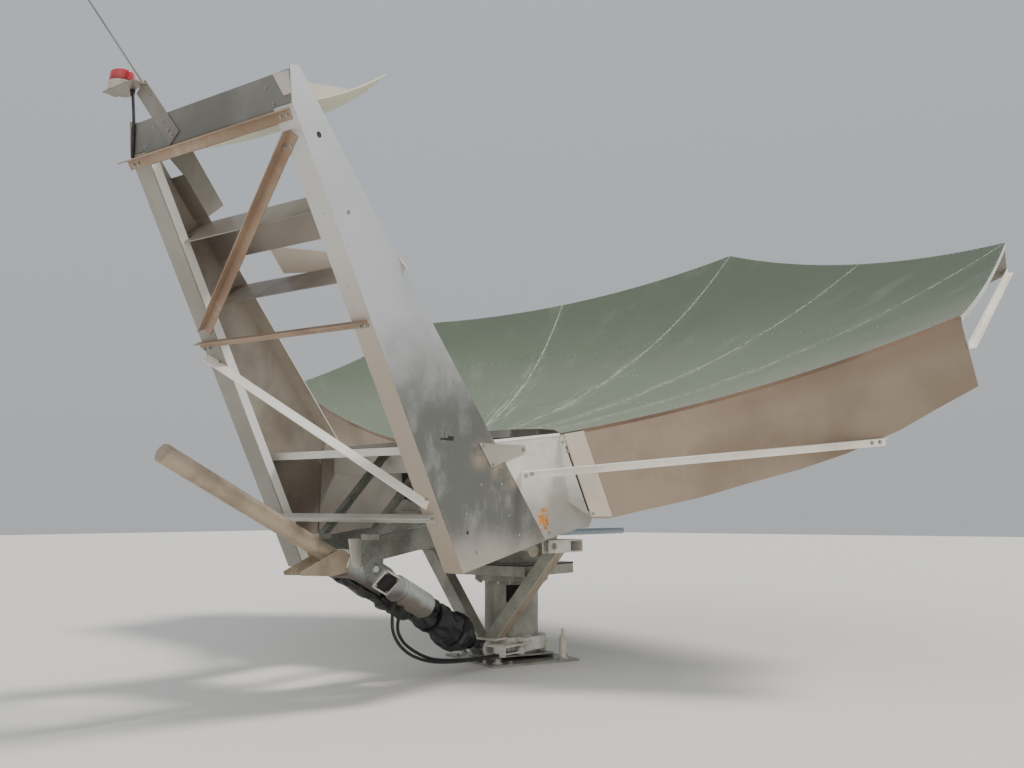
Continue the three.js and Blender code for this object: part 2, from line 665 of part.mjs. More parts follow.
function buildReflector() {
  for (let k = 0; k < 6; k++) piece(`reflector_panel_${k + 1}`, panel(k), REFLECTOR_PAINT);

  for (const [word, side] of sides) {
    const outline = [
      ...underPanels(SEAMS[6], INNER_RADIUS - 60, RIM_SIDE),
      at(4800, 63), at(4430, -101), at(4100, -255), at(3610, -421), at(3180, -523), at(2740, -598),
      at(2290, -688), at(1810, -749), at(1430, -801), at(1280, -787), at(1000, -560),
    ];
    const plate = seamPlate(outline, side * SEAMS[6], 0, -side * SIDE_THICK);
    const hub = hubSpace(side, HUB_OUT - SEAT, 2000);
    piece(`side_plate_${word}`, cut(plate, hub), DULL_ALUMINIUM);
  }
  for (let k = 1; k <= 5; k++) {
    const tip = rimRadius(SEAMS[k]) - 20;
    const start = DRUM_RADIUS + SEAT;
    const endDeep = k === 1 || k === 5 ? 350 : 110;
    const outline = [
      ...underPanels(SEAMS[k], INNER_RADIUS + 10, tip),
      at(tip, dishHeight(tip) - endDeep), at(3200, dishHeight(3200) - 330), at(start, -500), at(start, -60),
    ];
    piece(`rib_${k}`, seamPlate(outline, SEAMS[k], -RIB_THICK / 2, RIB_THICK / 2), DULL_ALUMINIUM);
  }
  buildDrum();
  buildSideStruts();
}

// Everything beyond a depth inside the beam faces, on one side; reach is how far it runs on
function hubSpace(side, depth, reach) {
  return between(rectangle(-3000, 3000, 0, 4000), leaning(side, depth), leaning(side, depth + reach));
}

// The curved wall that carries the inner ends of the ribs, cut to fit between the hub plates
function buildDrum() {
  const place = (height) => (p) => dishPlace(p.x, p.y, height);
  const turns = [-68, ...SEAMS.slice(0, 2), -30, SEAMS[2], -10, 0, 10, SEAMS[4], 30, ...SEAMS.slice(5), 68];
  const curve = (radius) => turns.map((turn) => onSeam(radius, turn, 0));
  const outline = [...curve(DRUM_RADIUS), ...curve(DRUM_RADIUS - DRUM_THICK).reverse()];
  const wall = between(outline, place(-DRUM_DEEP), place(-40));
  const drum = cut(wall, hubSpace(-1, HUB_IN, -600), hubSpace(1, HUB_IN, -600));
  piece("hub_drum", drum, DULL_ALUMINIUM);
}

function buildSideStruts() {
  for (const [word, side] of sides) {
    const foot = point(-1245, side * (halfWidth(1730) - HUB_OUT + SEAT), 1800);
    const q = onSeam(3960, side * SEAMS[6], side * SEAT);
    const head = dishPlace(q.x, q.y, -312);
    const section = angleSection(70, 8).map((p) => at(p.x * side, p.y));
    piece(`side_strut_${word}`, bar(section, foot, head, point(0, side, 0)), DULL_ALUMINIUM);

    // The rim strut runs from the side plate's end edge to the low corner of the deep rib's end
    const rimFoot = dishPlace(2150, side * 4228.4, 400);
    const rimHead = dishPlace(5135, side * 4218.7, 1047);
    const rimSection = angleSection(60, 7).map((p) => at(p.x * side, p.y));
    piece(`rim_strut_${word}`, bar(rimSection, rimFoot, rimHead, AXIS), DULL_ALUMINIUM);
  }
}

// Elevation jack
const JACK = FOOT.clone().sub(TRUNNION).normalize().negate();
const JACK_RISE = point(JACK.z, 0, -JACK.x);
const onJack = (t, y = 0, rise = 0) => (
  FOOT.clone().addScaledVector(JACK, t).addScaledVector(JACK_RISE, rise).setY(y)
);

function jackRound(radius, t0, t1, y = 0, rise = 0) {
  return bar(circle(radius, 20), onJack(t0, y, rise), onJack(t1, y, rise), JACK_RISE);
}

function jackBox(t0, t1, y0, y1, rise0, rise1) {
  return bar(rectangle(-y1, -y0, rise0, rise1), onJack(t0), onJack(t1), JACK_RISE);
}

const SPAN = FOOT.distanceTo(TRUNNION);

function buildScrew() {
  const eye = slab(circle(60, 24, FOOT.x, FOOT.z), -68, 68);
  const rod = jackRound(SCREW_R, 30, 3000);
  const hole = slab(circle(PIN_R + 1, 16, FOOT.x, FOOT.z), -80, 80);
  piece("jack_screw", cut(joined(eye, rod), hole), STEEL);
  const profile = [[125, 90], [200, 160], [450, 190], [800, 175], [1000, 150], [1150, 110]];
  const rings = 16;
  const place = (inner) => (u, v) => {
    const angle = v * 2 * Math.PI;
    const k = Math.min(Math.floor(u * (profile.length - 1)), profile.length - 2);
    const share = u * (profile.length - 1) - k;
    const t = profile[k][0] + (profile[k + 1][0] - profile[k][0]) * share;
    const r = inner ? SCREW_R + 1 : profile[k][1] + (profile[k + 1][1] - profile[k][1]) * share;
    return onJack(t, r * Math.cos(angle), r * Math.sin(angle));
  };
  piece("jack_wrap", sleeve(profile.length - 1, rings, place(false), place(true)), BLACK_SHEET);
}

// A closed sleeve: an outer and an inner wall that go all the way round, joined at both ends
function sleeve(columns, rows, outer, inner) {
  const points = [];
  for (const face of [outer, inner]) {
    for (let i = 0; i <= columns; i++) {
      for (let j = 0; j < rows; j++) points.push(face(i / columns, j / rows));
    }
  }
  const within = (columns + 1) * rows;
  const index = (i, j) => i * rows + j % rows;
  const triangles = [];
  const quad = (a, b, c, d) => triangles.push([a, b, c], [a, c, d]);
  for (let j = 0; j < rows; j++) {
    for (let i = 0; i < columns; i++) {
      const [a, b, c, d] = [index(i, j), index(i + 1, j), index(i + 1, j + 1), index(i, j + 1)];
      quad(a, b, c, d);
      quad(d + within, c + within, b + within, a + within);
    }
    quad(index(0, j), index(0, j + 1), index(0, j + 1) + within, index(0, j) + within);
    const last = index(columns, j);
    const next = index(columns, j + 1);
    quad(last, last + within, next + within, next);
  }
  return closed(points, triangles);
}

// The reducer is a box turned about the jack's line, with its square cover facing near and down
function reducer() {
  const outline = rectangle(-80, 80, -78, 78).map((p) => p.rotateAround(at(0, 0), -REDUCER_TURN));
  const section = outline.map((p) => p.add(at(170, 16)));
  return bar(section, onJack(GEAR_START), onJack(REDUCER_END), JACK_RISE);
}

function buildHousing() {
  const end = SPAN + GEAR_HALF;
  const gear = jackBox(GEAR_START, end, -GEAR_SIDE, GEAR_SIDE, -GEAR_SIDE, GEAR_SIDE);
  const bore = jackRound(NUT_R, GEAR_START - 20, end + 20);
  const pin = (side) => slab(circle(TRUNNION_PIN_R, 16, TRUNNION.x, TRUNNION.z), side * 100, side * 285);
  piece("jack_gearbox", cut(joined(gear, reducer(), pin(-1), pin(1)), bore), GREY_PAINT);
  const tube = jackRound(70, end + SEAT, 4060);
  const blind = jackRound(BORE_R, end - 20, 3950);
  piece("jack_cover_tube", cut(tube, blind), GALVANISED);

  // The sheeted boot hangs low round the screw and runs on under the gearbox
  const boot = jackRound(BOOT_R, 1160, BOOT_END, 0, BOOT_RISE);
  const room = jackBox(GEAR_START - SEAT, end, -200, 200, -GEAR_SIDE - SEAT, 200);
  const way = jackRound(BORE_R, 1100, GEAR_START + 20);
  piece("jack_boot", cut(boot, room, way), BLACK_SHEET);
  piece("jack_motor", jackRound(MOTOR_R, MOTOR_START, GEAR_START - SEAT, MOTOR_Y, MOTOR_RISE), GREY_PAINT);
}

// Cables, each a round tube on a smooth line through its points
function cable(name, points, radius, steps) {
  const path = new THREE.CatmullRomCurve3(points);
  const section = new THREE.Shape(circle(radius, 8));
  const tube = new THREE.ExtrudeGeometry(section, { steps, bevelEnabled: false, extrudePath: path });
  piece(name, tube, BLACK_SHEET);
}

// Two cables hang from under the motor in a loop and end at the web of the turning collar
function buildCables() {
  const leave = (t) => [onJack(t, MOTOR_Y, MOTOR_RISE - MOTOR_R - SEAT), onJack(t, MOTOR_Y, -195)];
  const enter = (y) => [point(-900, y, 114), point(-700, y, 110), point(SHELF_FRONT - SEAT, y, 110)];
  cable("motor_cable_1", [
    ...leave(1640),
    ...[[-2084, 494], [-2018, 382], [-1894, 285], [-1720, 211], [-1522, 163], [-1316, 138], [-1144, 125]]
      .map(([x, z]) => point(x, -242, z)),
    ...enter(-242),
  ], 14, 36);
  cable("motor_cable_2", [
    ...leave(1550),
    ...[[-1974, 470], [-1906, 372], [-1791, 295], [-1634, 223], [-1494, 180], [-1306, 150], [-1144, 132]]
      .map(([x, z]) => point(x, -204, z)),
    ...enter(-208),
  ], 14, 36);
  const hanger = BAR_FACE - CABLE_R + SEAT;
  const drop = [point(hanger, 905, 4749), point(hanger, 868, 4470), point(hanger, 862, 4187)];
  cable("beacon_cable", drop, CABLE_R, 24);
}

// Arms and struts of the boom that hold the trunnion
const armMiddle = (x) => 1155 + ARM_SLOPE * (x + 2350);

function buildArms() {
  const front = -2470;
  const rear = -750 - SEAT;
  const top = (x) => at(x, armMiddle(x) + ARM_DEEP / 2);
  const bottom = (x) => at(x, armMiddle(x) - ARM_DEEP / 2);
  for (const [word, side] of sides) {
    const inner = side * (ARM_Y - ARM_WIDE / 2);
    const outer = side * (ARM_Y + ARM_WIDE / 2);
    const arm = slab([bottom(front), bottom(rear), top(rear), top(front)], inner, outer);

    const strutTop = 1955 - SEAT;
    const foot = (x) => at(x, top(x).y - 1);
    const head = (x) => at(x + (strutTop - foot(x).y) / STRUT_SLOPE, strutTop);
    const [x0, x1] = [-2465, -2377];
    const strut = slab([foot(x0), foot(x1), head(x1), head(x0)], inner, outer);

    const cheek = [
      at(front + 5, bottom(front + 5).y + 1),
      at(front + 5, TRUNNION.z),
      at(TRUNNION.x - 45, TRUNNION.z - 62),
      at(TRUNNION.x + 45, TRUNNION.z - 62),
      at(TRUNNION.x + 85, TRUNNION.z),
      at(-2240, bottom(-2240).y + 1),
    ];
    const hole = circle(TRUNNION_HOLE_R, 16, TRUNNION.x, TRUNNION.z);
    const plate = slab(cheek, side * CHEEK_Y, side * (CHEEK_Y + CHEEK_THICK), [hole]);
    piece(`jack_frame_${word}`, joined(arm, strut, plate), GALVANISED);
  }
}

buildPedestal();
buildAzimuthHead();
buildHub();
buildFront();
buildCrossMembers();
buildSubreflector();
buildBeacon();
buildReflector();
buildScrew();
buildHousing();
buildCables();
buildArms();

export default antenna;
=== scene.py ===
import math

import bmesh
import bpy
from mathutils import Matrix, Vector, noise


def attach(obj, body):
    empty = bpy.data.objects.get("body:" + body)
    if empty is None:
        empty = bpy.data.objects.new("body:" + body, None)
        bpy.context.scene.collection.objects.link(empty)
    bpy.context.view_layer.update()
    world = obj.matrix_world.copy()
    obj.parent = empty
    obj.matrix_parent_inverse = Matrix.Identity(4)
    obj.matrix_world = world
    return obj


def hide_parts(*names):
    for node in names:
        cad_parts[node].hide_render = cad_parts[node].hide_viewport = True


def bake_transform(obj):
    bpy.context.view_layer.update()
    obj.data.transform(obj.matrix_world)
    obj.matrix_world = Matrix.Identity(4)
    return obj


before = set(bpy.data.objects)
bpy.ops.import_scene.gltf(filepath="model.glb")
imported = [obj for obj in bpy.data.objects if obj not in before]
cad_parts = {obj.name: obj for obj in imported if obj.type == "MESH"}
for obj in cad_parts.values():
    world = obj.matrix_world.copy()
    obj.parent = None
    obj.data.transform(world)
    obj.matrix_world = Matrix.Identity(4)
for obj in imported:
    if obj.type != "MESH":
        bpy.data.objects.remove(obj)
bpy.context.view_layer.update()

# The antenna's own sizes, as in its solids: lengths in metres, seams in degrees
HALF_AT_GROUND = 1.00625
LEAN = 0.02411
FRONT_X, FRONT_SLOPE = -1.5526, -0.5707
LIP_IN = 0.178
LEG_LEAN = 0.0918
HUB_IN = 0.0083
VERTEX = Vector((-1.058, 0, 2.042))
TILT = math.radians(11.884)
FOCAL = 7.899
SEAMS = [-62.84, -39.53, -20.18, 0.0, 20.18, 39.53, 62.84]
RIM_MIDDLE, RIM_CORNER, RIM_SIDE = 7.712, 6.64, 4.71
INNER_RADIUS = 1.07
PANEL_GAP = 0.004
SKIN = 0.004
HOOPS = (2.2, 3.4, 4.6)
SUB_CENTRE = Vector((-3.25, 0, 4.44))
SUB_PITCH = math.radians(31)
SUB_THICK = 0.038
LONG_BEND, CROSS_BEND = 4.5, 2.6
FOOT = Vector((-0.519, 0, 0.155))
TRUNNION = Vector((-2.34, 0, 0.9924))
SPAN = (TRUNNION - FOOT).length
JACK = (TRUNNION - FOOT).normalized()
JACK_RISE = Vector((JACK.z, 0, -JACK.x))
GEAR_START, GEAR_END = 1.69, SPAN + 0.12
MOTOR_START, MOTOR_Y, MOTOR_RISE, MOTOR_R = 1.235, -0.25, -0.035, 0.112
REDUCER_END, REDUCER_TURN = 1.895, math.radians(35)
BOOT_START, BOOT_END, BOOT_R, BOOT_RISE = 1.16, 2.07, 0.13, -0.045
BOOT_ROOF = -0.1175
BAR_FACE = -3.9523
TOP_FACE = -3.952
KINGPOST_TOP = 0.8
FLANGE_THICK = 0.022
BASE_TURN = math.radians(-25)
ANCHOR_OUT = 0.3725
SIDES = (("near", -1), ("far", 1))
SEAT = 0.0003
CABLE_R, LEAD_R = 0.0138, 0.0117
SIXTH_TURN, EIGHTH_TURN = 1.0471, 0.785
ALONG, ACROSS, UP = Vector((1, 0, 0)), Vector((0, 1, 0)), Vector((0, 0, 1))
FRONT_OUT = Vector((-1, 0, FRONT_SLOPE)).normalized()
DISH_AXIS = Vector((-math.sin(TILT), 0, math.cos(TILT)))
DISH_ACROSS = Vector((math.cos(TILT), 0, math.sin(TILT)))

# Name of the jack's body
HOUSING = "jack_housing"


# Camera at the photograph's place
def make_camera():
    azimuth, pitch = math.radians(34.39), math.radians(7.459)
    forward = Vector((math.cos(azimuth) * math.cos(pitch), math.sin(azimuth) * math.cos(pitch),
                      math.sin(pitch)))
    lens = bpy.data.cameras.new("camera")
    lens.sensor_width = 36
    lens.lens = 34.77
    lens.clip_end = 200
    camera = bpy.data.objects.new("camera", lens)
    camera.location = (-8.409, -5.763, 1.438)
    camera.rotation_euler = forward.to_track_quat("-Z", "Y").to_euler()
    bpy.context.scene.collection.objects.link(camera)
    bpy.context.scene.camera = camera


make_camera()


# Node trees, whose values combine as numbers do
def operator(operation, swapped=False):
    def combined(self, other):
        first, second = (other, self) if swapped else (self, other)
        return self.tree.node("ShaderNodeMath", {0: first, 1: second}, operation=operation)
    return combined


class Value:
    def __init__(self, tree, socket):
        self.tree = tree
        self.socket = socket

    __add__ = operator("ADD")
    __radd__ = operator("ADD", True)
    __sub__ = operator("SUBTRACT")
    __rsub__ = operator("SUBTRACT", True)
    __mul__ = operator("MULTIPLY")
    __truediv__ = operator("DIVIDE")


class Tree:
    def __init__(self, tree):
        self.tree = tree

    def node(self, kind, inputs=None, output=0, **settings):
        """Adds a node with its settings and inputs, and gives one of its outputs."""
        made = self.tree.nodes.new(kind)
        for key, value in settings.items():
            setattr(made, key, value)
        for key, value in (inputs or {}).items():
            if isinstance(value, Value):
                self.tree.links.new(value.socket, made.inputs[key])
            else:
                made.inputs[key].default_value = value
        return Value(self, made.outputs[output]) if made.outputs else None


def linear(tone):
    """A linear colour from the 0 to 255 values seen on a screen."""
    parts = [part / 255 for part in tone]
    return (*(p / 12.92 if p <= 0.04045 else ((p + 0.055) / 1.055) ** 2.4 for p in parts), 1.0)


class Shade(Tree):
    """One material. Its colour starts as a tone or a mix of two, and further tones are laid over it."""

    def __init__(self, name):
        self.material = bpy.data.materials.new(name)
        self.material.use_nodes = True
        super().__init__(self.material.node_tree)
        self.tree.nodes.clear()
        self.place = self.node("ShaderNodeTexCoord", output="Object")
        self.colour = None

    def stretched(self, scale, turn=(0, 0, 0)):
        return self.node("ShaderNodeMapping", {"Vector": self.place, "Scale": scale, "Rotation": turn})

    def noise(self, scale, detail=3.0, roughness=0.5, at=None):
        inputs = {"Vector": at or self.place, "Scale": scale, "Detail": detail, "Roughness": roughness}
        return self.node("ShaderNodeTexNoise", inputs)

    def step(self, value, low, high, bottom=0.0, top=1.0):
        inputs = {0: value, 1: low, 2: high, 3: bottom, 4: top}
        return self.node("ShaderNodeMapRange", inputs, interpolation_type="SMOOTHSTEP")

    def clouds(self, scale, detail, roughness, low, high, at=None):
        """Noise with soft edges: 0 where it is under low and 1 where it is over high."""
        return self.step(self.noise(scale, detail, roughness, at), low, high)

    def mix(self, factor, *colours):
        first, second = [c if isinstance(c, Value) else linear(c) for c in colours]
        return self.node("ShaderNodeMix", {0: factor, 6: first, 7: second}, output=2, data_type="RGBA")

    def lay(self, share, colour):
        self.colour = self.mix(share, self.colour, colour)

    def axis(self, index, at=None):
        return self.node("ShaderNodeSeparateXYZ", {0: at or self.place}, output=index)

    def joined(self, x, y, z=0.0):
        return self.node("ShaderNodeCombineXYZ", {0: x, 1: y, 2: z})

    def near(self, centre, radius, soft):
        """1 inside a ball about centre, fading to 0 over soft."""
        ends = {0: self.place, 1: centre}
        distance = self.node("ShaderNodeVectorMath", ends, "Value", operation="DISTANCE")
        return self.step(distance, radius, radius + soft, 1.0, 0.0)

    def finish(self, roughness, metallic=0.0, height=None, strength=0.0, distance=0.01, **more):
        """Ends the material; height, strength and distance are those of its bumps."""
        inputs = {"Base Color": self.colour, "Roughness": roughness, "Metallic": metallic}
        if height:
            bumps = {"Height": height, "Strength": strength, "Distance": distance}
            inputs["Normal"] = self.node("ShaderNodeBump", bumps)
        for key, value in more.items():
            inputs[key.replace("_", " ")] = value
        surface = self.node("ShaderNodeBsdfPrincipled", inputs)
        self.node("ShaderNodeOutputMaterial", {0: surface})
        return self.material


# Finishes
def sheet_aluminium(name, light, dark, metallic=0.6, grain_share=0.2):
    """Weathered aluminium sheet: smooth and silvery, with soft clouds and a fine grain."""
    s = Shade(name)
    clouds = s.clouds(1.1, 4, 0.5, 0.36, 0.7)
    grain = s.noise(60, 2, 0.6, s.stretched((1, 1, 0.06), (0, -0.5, 0)))
    spots = s.clouds(26, 2, 0.5, 0.68, 0.75)
    s.colour = s.mix(clouds, light, dark)
    s.lay(grain * grain_share, (196, 196, 192))
    s.lay(spots * 0.2, (110, 102, 90))
    height = s.noise(3.2, 2, 0.5) + grain * 0.04
    return s.finish(0.4 + clouds * 0.12, metallic, height, 0.2, 0.02)


def near_web():
    """Silvery above and darker lower down, which is painted shade, with pale painted highlights in the darker
    part; the foot is tan, and the front flange is tan as painted shade.
    """
    s = Shade("web_sheet")
    height = s.axis(2)
    drift = (s.noise(1.4, 5, 0.6) - 0.5) * 1.3
    grain = s.noise(60, 2, 0.6, s.stretched((1, 1, 0.06), (0, -0.5, 0)))
    clouds = s.clouds(0.8, 3, 0.5, 0.4, 0.7)
    outward = height * LEAN - s.axis(1)
    web = s.step(outward, HALF_AT_GROUND - 0.004, HALF_AT_GROUND - 0.001)
    # Painted shade: the front flange and lips turn tan, most of all low down.
    flange = (1.0 - web) * s.step(height + drift * 0.3, 2.4, 3.6, 1.0, 0.25)
    # Painted shade: the web is darker lower down.
    dark = web * s.step(height + drift, 2.05, 3.0, 1.0, 0.0) * s.step(height + drift * 0.4, 0.95, 1.35)
    # Painted highlights: pale flecks within that shade.
    painted_glints = dark * s.clouds(5, 4, 0.6, 0.5, 0.75, s.stretched((1, 1, 0.7), (0, 0.6, 0)))
    smear = s.near((-1.86, -0.96, 1.91), 0.03, 0.15) + s.near((-1.6, -0.962, 1.84), 0.03, 0.14)
    smear = web * (smear + s.near((-1.39, -0.965, 1.73), 0.02, 0.12)) * s.clouds(7, 4, 0.6, 0.3, 0.55)
    # Tan towards the foot of the web.
    foot_tan = s.step(height + drift * 0.3, 1.0, 1.4, 1.0, 0.0)
    spots = s.clouds(22, 2, 0.5, 0.7, 0.76)
    s.colour = s.mix(clouds * 0.6, (206, 208, 207), (182, 185, 186))
    s.lay(dark * 0.92, (94, 95, 90))
    s.lay(painted_glints * 0.35, (190, 192, 187))
    s.lay(foot_tan * 0.7, (168, 152, 134))
    s.lay(flange * 0.85, (184, 168, 150))
    s.lay(smear * 0.6, (184, 164, 140))
    s.lay(grain * 0.04, (206, 206, 202))
    s.lay(spots * 0.3, (92, 86, 76))
    return s.finish(0.42 + dark * 0.12, 0.55, s.noise(3, 2, 0.5) + grain * 0.01, 0.18, 0.02)


def far_beam():
    """Brownish all over as painted shade, with the pale return lips along the flanges as painted highlights.
    """
    s = Shade("far_beam_sheet")
    inward = s.axis(1) + s.axis(2) * LEAN
    # Painted highlight: the return lips are near white.
    lip = s.step(inward, HALF_AT_GROUND - LIP_IN - 0.004, HALF_AT_GROUND - LIP_IN, 1.0, 0.0)
    face = s.step(s.axis(0) + s.axis(2) * -FRONT_SLOPE - FRONT_X, 0.011, 0.016, 1.0, 0.0)
    low = s.step(s.axis(2) + s.noise(1.6, 4, 0.6) * 0.8, 1.9, 3.0, 1.0, 0.0)
    clouds = s.clouds(1.8, 5, 0.6, 0.36, 0.68)
    streaks = s.clouds(9, 3, 0.6, 0.5, 0.8, s.stretched((1, 1, 0.2), (0, -0.5, 0)))
    # Painted shade: the whole beam is brownish.
    s.colour = s.mix(clouds, (176, 168, 156), (146, 134, 121))
    s.lay(low * 0.6, (112, 100, 90))
    s.lay(streaks * 0.25, (126, 108, 92))
    s.lay(face * 0.7, (150, 149, 142))
    s.lay(lip * (1.0 - face) * 0.9, (250, 247, 242))
    return s.finish(0.48 + clouds * 0.12, 0.2, s.noise(4, 3, 0.5), 0.15, 0.02)


def hub_sheet():
    """Whitish new plate, lighter than its far twin in the shaded sheet because it is painted as sunlit, with
    one rusted patch beside the near beam.
    """
    s = Shade("hub_sheet")
    clouds = s.clouds(2.4, 4, 0.55, 0.38, 0.7)
    wipe = s.clouds(5, 3, 0.6, 0.5, 0.8, s.stretched((1, 1, 2.5), (0, 0.5, 0)))
    patch = s.near((-0.9, -0.981, 1.39), 0.07, 0.06)
    rust = patch * s.clouds(15, 5, 0.75, 0.44, 0.5)
    burnt = patch * s.clouds(24, 4, 0.7, 0.58, 0.64)
    s.colour = s.mix(clouds * 0.7, (232, 229, 221), (208, 203, 193))
    s.lay(wipe * 0.3, (176, 173, 166))
    low = s.step(s.axis(2) + s.noise(3, 3, 0.6) * 0.3, 1.55, 2.0, 1.0, 0.0)
    s.lay(low * 0.6, (142, 137, 127))
    s.lay(rust, (214, 142, 58))
    s.lay(burnt, (124, 72, 30))
    return s.finish(0.5 + rust * 0.3, 0.25, s.noise(3.5, 2, 0.5) + rust * 0.1, 0.2, 0.02)


def dish_plan(s):
    """Places seen along the dish's axis, and how far each lies from it."""
    inputs = {"Vector": s.place, "Location": VERTEX, "Rotation": (0, -TILT, 0)}
    plan = s.node("ShaderNodeMapping", inputs, vector_type="TEXTURE")
    flat = s.joined(s.axis(0, plan), s.axis(1, plan))
    return plan, s.node("ShaderNodeVectorMath", {0: flat}, "Value", operation="LENGTH")


def dull_aluminium(name, light, dark, metallic=0.3, streak_share=0.3, outer=None):
    """Dull stained aluminium with pale streaks and dust; outer is the tone far behind the hub, and with it
    comes a brown painted shadow just below the dish's skin.
    """
    s = Shade(name)
    patches = s.clouds(1.5, 4, 0.55, 0.36, 0.68)
    streaks = s.noise(7, 3, 0.55, s.stretched((1, 1, 0.25)))
    dust = s.clouds(34, 3, 0.6, 0.55, 0.8)
    s.colour = s.mix(patches, light, dark)
    s.lay(s.step(streaks, 0.55, 0.8) * streak_share, (214, 206, 194))
    s.lay(dust * 0.2, (128, 106, 84))
    if outer:
        s.lay(s.step(s.axis(0) + patches * 0.3, -0.1, 1.2) * 0.8, outer)
        # Painted shadow: a brown stripe just below the dish's skin, from about 2 m out from the axis.
        plan, radius = dish_plan(s)
        depth = radius * radius / (4 * FOCAL) - s.axis(2, plan) + patches * 0.08
        skin_shadow = s.step(depth, 0.1, 0.36, 1.0, 0.0) * s.step(radius, 1.8, 3.0)
        s.lay(skin_shadow * 0.45, (116, 96, 78))
    return s.finish(0.48 + patches * 0.14, metallic, s.noise(5, 3, 0.5), 0.15, 0.01)


def galvanised_shade(s, light, dark, rust):
    """Lays on galvanised steel, a faint spangle with thin rusty water marks, and gives its roughness."""
    spangle = s.node("ShaderNodeTexVoronoi", {"Vector": s.place, "Scale": 55.0}, "Color")
    flake = s.node("ShaderNodeSeparateColor", {0: spangle})
    patches = s.clouds(4, 4, 0.6, 0.36, 0.68)
    marks = s.clouds(9, 4, 0.65, 0.55, 0.75, s.stretched((1, 1, 0.22)))
    s.colour = s.mix(patches, light, dark)
    s.lay(flake * 0.14, (196, 198, 192))
    s.lay(marks * rust, (134, 98, 66))
    return 0.48 + flake * 0.12 + marks * 0.15


def galvanised(name, light, dark, rust=0.3, metallic=0.4):
    s = Shade(name)
    rough = galvanised_shade(s, light, dark, rust)
    return s.finish(rough, metallic, s.noise(40, 3, 0.5), 0.12, 0.003)


def leg_steel():
    """The near leg: grey-green in front, which is painted shade, and streaked tan on the side that leans
    outwards, which is painted sunlight; a pale painted highlight runs along the edge between them.
    """
    s = Shade("leg_steel")
    rough = galvanised_shade(s, (158, 160, 146), (132, 134, 120), 0.4)
    line = s.axis(0) - s.axis(2) * LEG_LEAN
    # Painted light: the front face takes the grey-green of shade, the rest the tan of sunlight.
    front = s.step(line, -0.536, -0.534, 1.0, 0.0)
    # Painted highlight: a pale line along the edge behind the front face.
    ridge = s.step(line, -0.534, -0.524, 1.0, 0.0) * (1.0 - front)
    streaks = s.clouds(12, 4, 0.6, 0.42, 0.72, s.stretched((1, 1, 0.3)))
    side = s.mix(streaks * 0.6, (174, 158, 140), (140, 120, 100))
    s.lay(1.0 - front, side)
    s.lay(ridge * 0.8, (238, 228, 206))
    return s.finish(rough, 0.25, s.noise(40, 3, 0.5), 0.12, 0.003)


def reflector_paint():
    """Matte sage paint with chalky streaks that run out from the hub, most of them beside the seams, and
    painted shade that darkens it towards the rim.
    """
    s = Shade("sage_paint")
    plan, radius = dish_plan(s)
    angle = s.node("ShaderNodeMath", {0: s.axis(1, plan), 1: s.axis(0, plan)}, operation="ARCTAN2")
    polar = s.joined(angle * 7.0, radius * 0.35)
    streaks = s.clouds(2.2, 5, 0.62, 0.52, 0.82, polar)
    fine = s.joined(angle * 26.0, radius * 0.8, 4.0)
    wash = s.clouds(2.0, 4, 0.6, 0.46, 0.66, fine) * s.step(radius, 2.2, 5.0, 1.0, 0.1)
    beside = 0.0
    for seam in SEAMS[1:6]:
        gap = s.node("ShaderNodeMath", {0: angle - math.radians(seam)}, operation="ABSOLUTE")
        beside = beside + s.step(gap * radius, 0.01, 0.22, 1.0, 0.0)
    veils = s.clouds(0.7, 4, 0.6, 0.45, 0.72)
    specks = s.clouds(48, 2, 0.5, 0.68, 0.76)
    # Painted shade: the paint darkens towards the rim.
    outer = s.step(radius + veils * 0.8, 2.6, 6.6)
    dusty = s.step((angle - math.radians(SEAMS[0])) * radius + veils * 0.3, 0.1, 1.5, 1.0, 0.0)
    s.colour = s.mix(veils * 0.6, (114, 124, 103), (126, 134, 114))
    s.lay(outer * 0.9, (80, 92, 70))
    s.lay(dusty * 0.35, (146, 146, 126))
    s.lay(streaks * 0.25, (160, 166, 150))
    s.lay(beside * wash * 0.75, (180, 184, 168))
    s.lay(specks * 0.25, (172, 174, 160))
    return s.finish(0.62 + streaks * 0.15, 0.0, s.noise(5, 2, 0.4), 0.08, 0.01)


def seam_chalk():
    """Worn sealer: a broken pale line on the sage paint."""
    s = Shade("seam_sealer")
    broken = s.clouds(14, 3, 0.6, 0.42, 0.56)
    s.colour = s.mix(broken, (128, 136, 118), (196, 198, 182))
    return s.finish(0.7 + broken * 0.1, 0.0, s.noise(60, 2, 0.5), 0.1, 0.002)


def paint(name, colour, dirt, gloss=0.45, metallic=0.0, dirt_share=0.4):
    """Even paint with grime that gathers in blotches."""
    s = Shade(name)
    grime = s.clouds(9, 5, 0.65, 0.48, 0.74)
    fine = s.noise(70, 2, 0.5)
    s.colour = s.mix(grime * dirt_share, colour, dirt)
    s.lay(fine * 0.12, dirt)
    return s.finish(gloss + grime * 0.2, metallic, fine, 0.05, 0.002)


def motor_paint():
    """Light grey paint, with oily rust and painted shade on the underside of the motor."""
    s = Shade("motor_grey")
    rise = s.node("ShaderNodeVectorMath", {0: s.place, 1: JACK_RISE}, "Value", operation="DOT_PRODUCT")
    level = rise - (FOOT.dot(JACK_RISE) + MOTOR_RISE)
    # Rust and painted shade: the underside of the motor turns dark brown.
    under = s.step(level + s.noise(9, 4, 0.6) * 0.07, -0.035, 0.055, 1.0, 0.0)
    grime = s.clouds(9, 5, 0.65, 0.5, 0.76)
    s.colour = s.mix(grime * 0.4, (180, 184, 184), (122, 116, 108))
    s.lay(under * 0.85, (92, 78, 67))
    return s.finish(0.42 + under * 0.25, 0.1, s.noise(70, 2, 0.5), 0.05, 0.002)


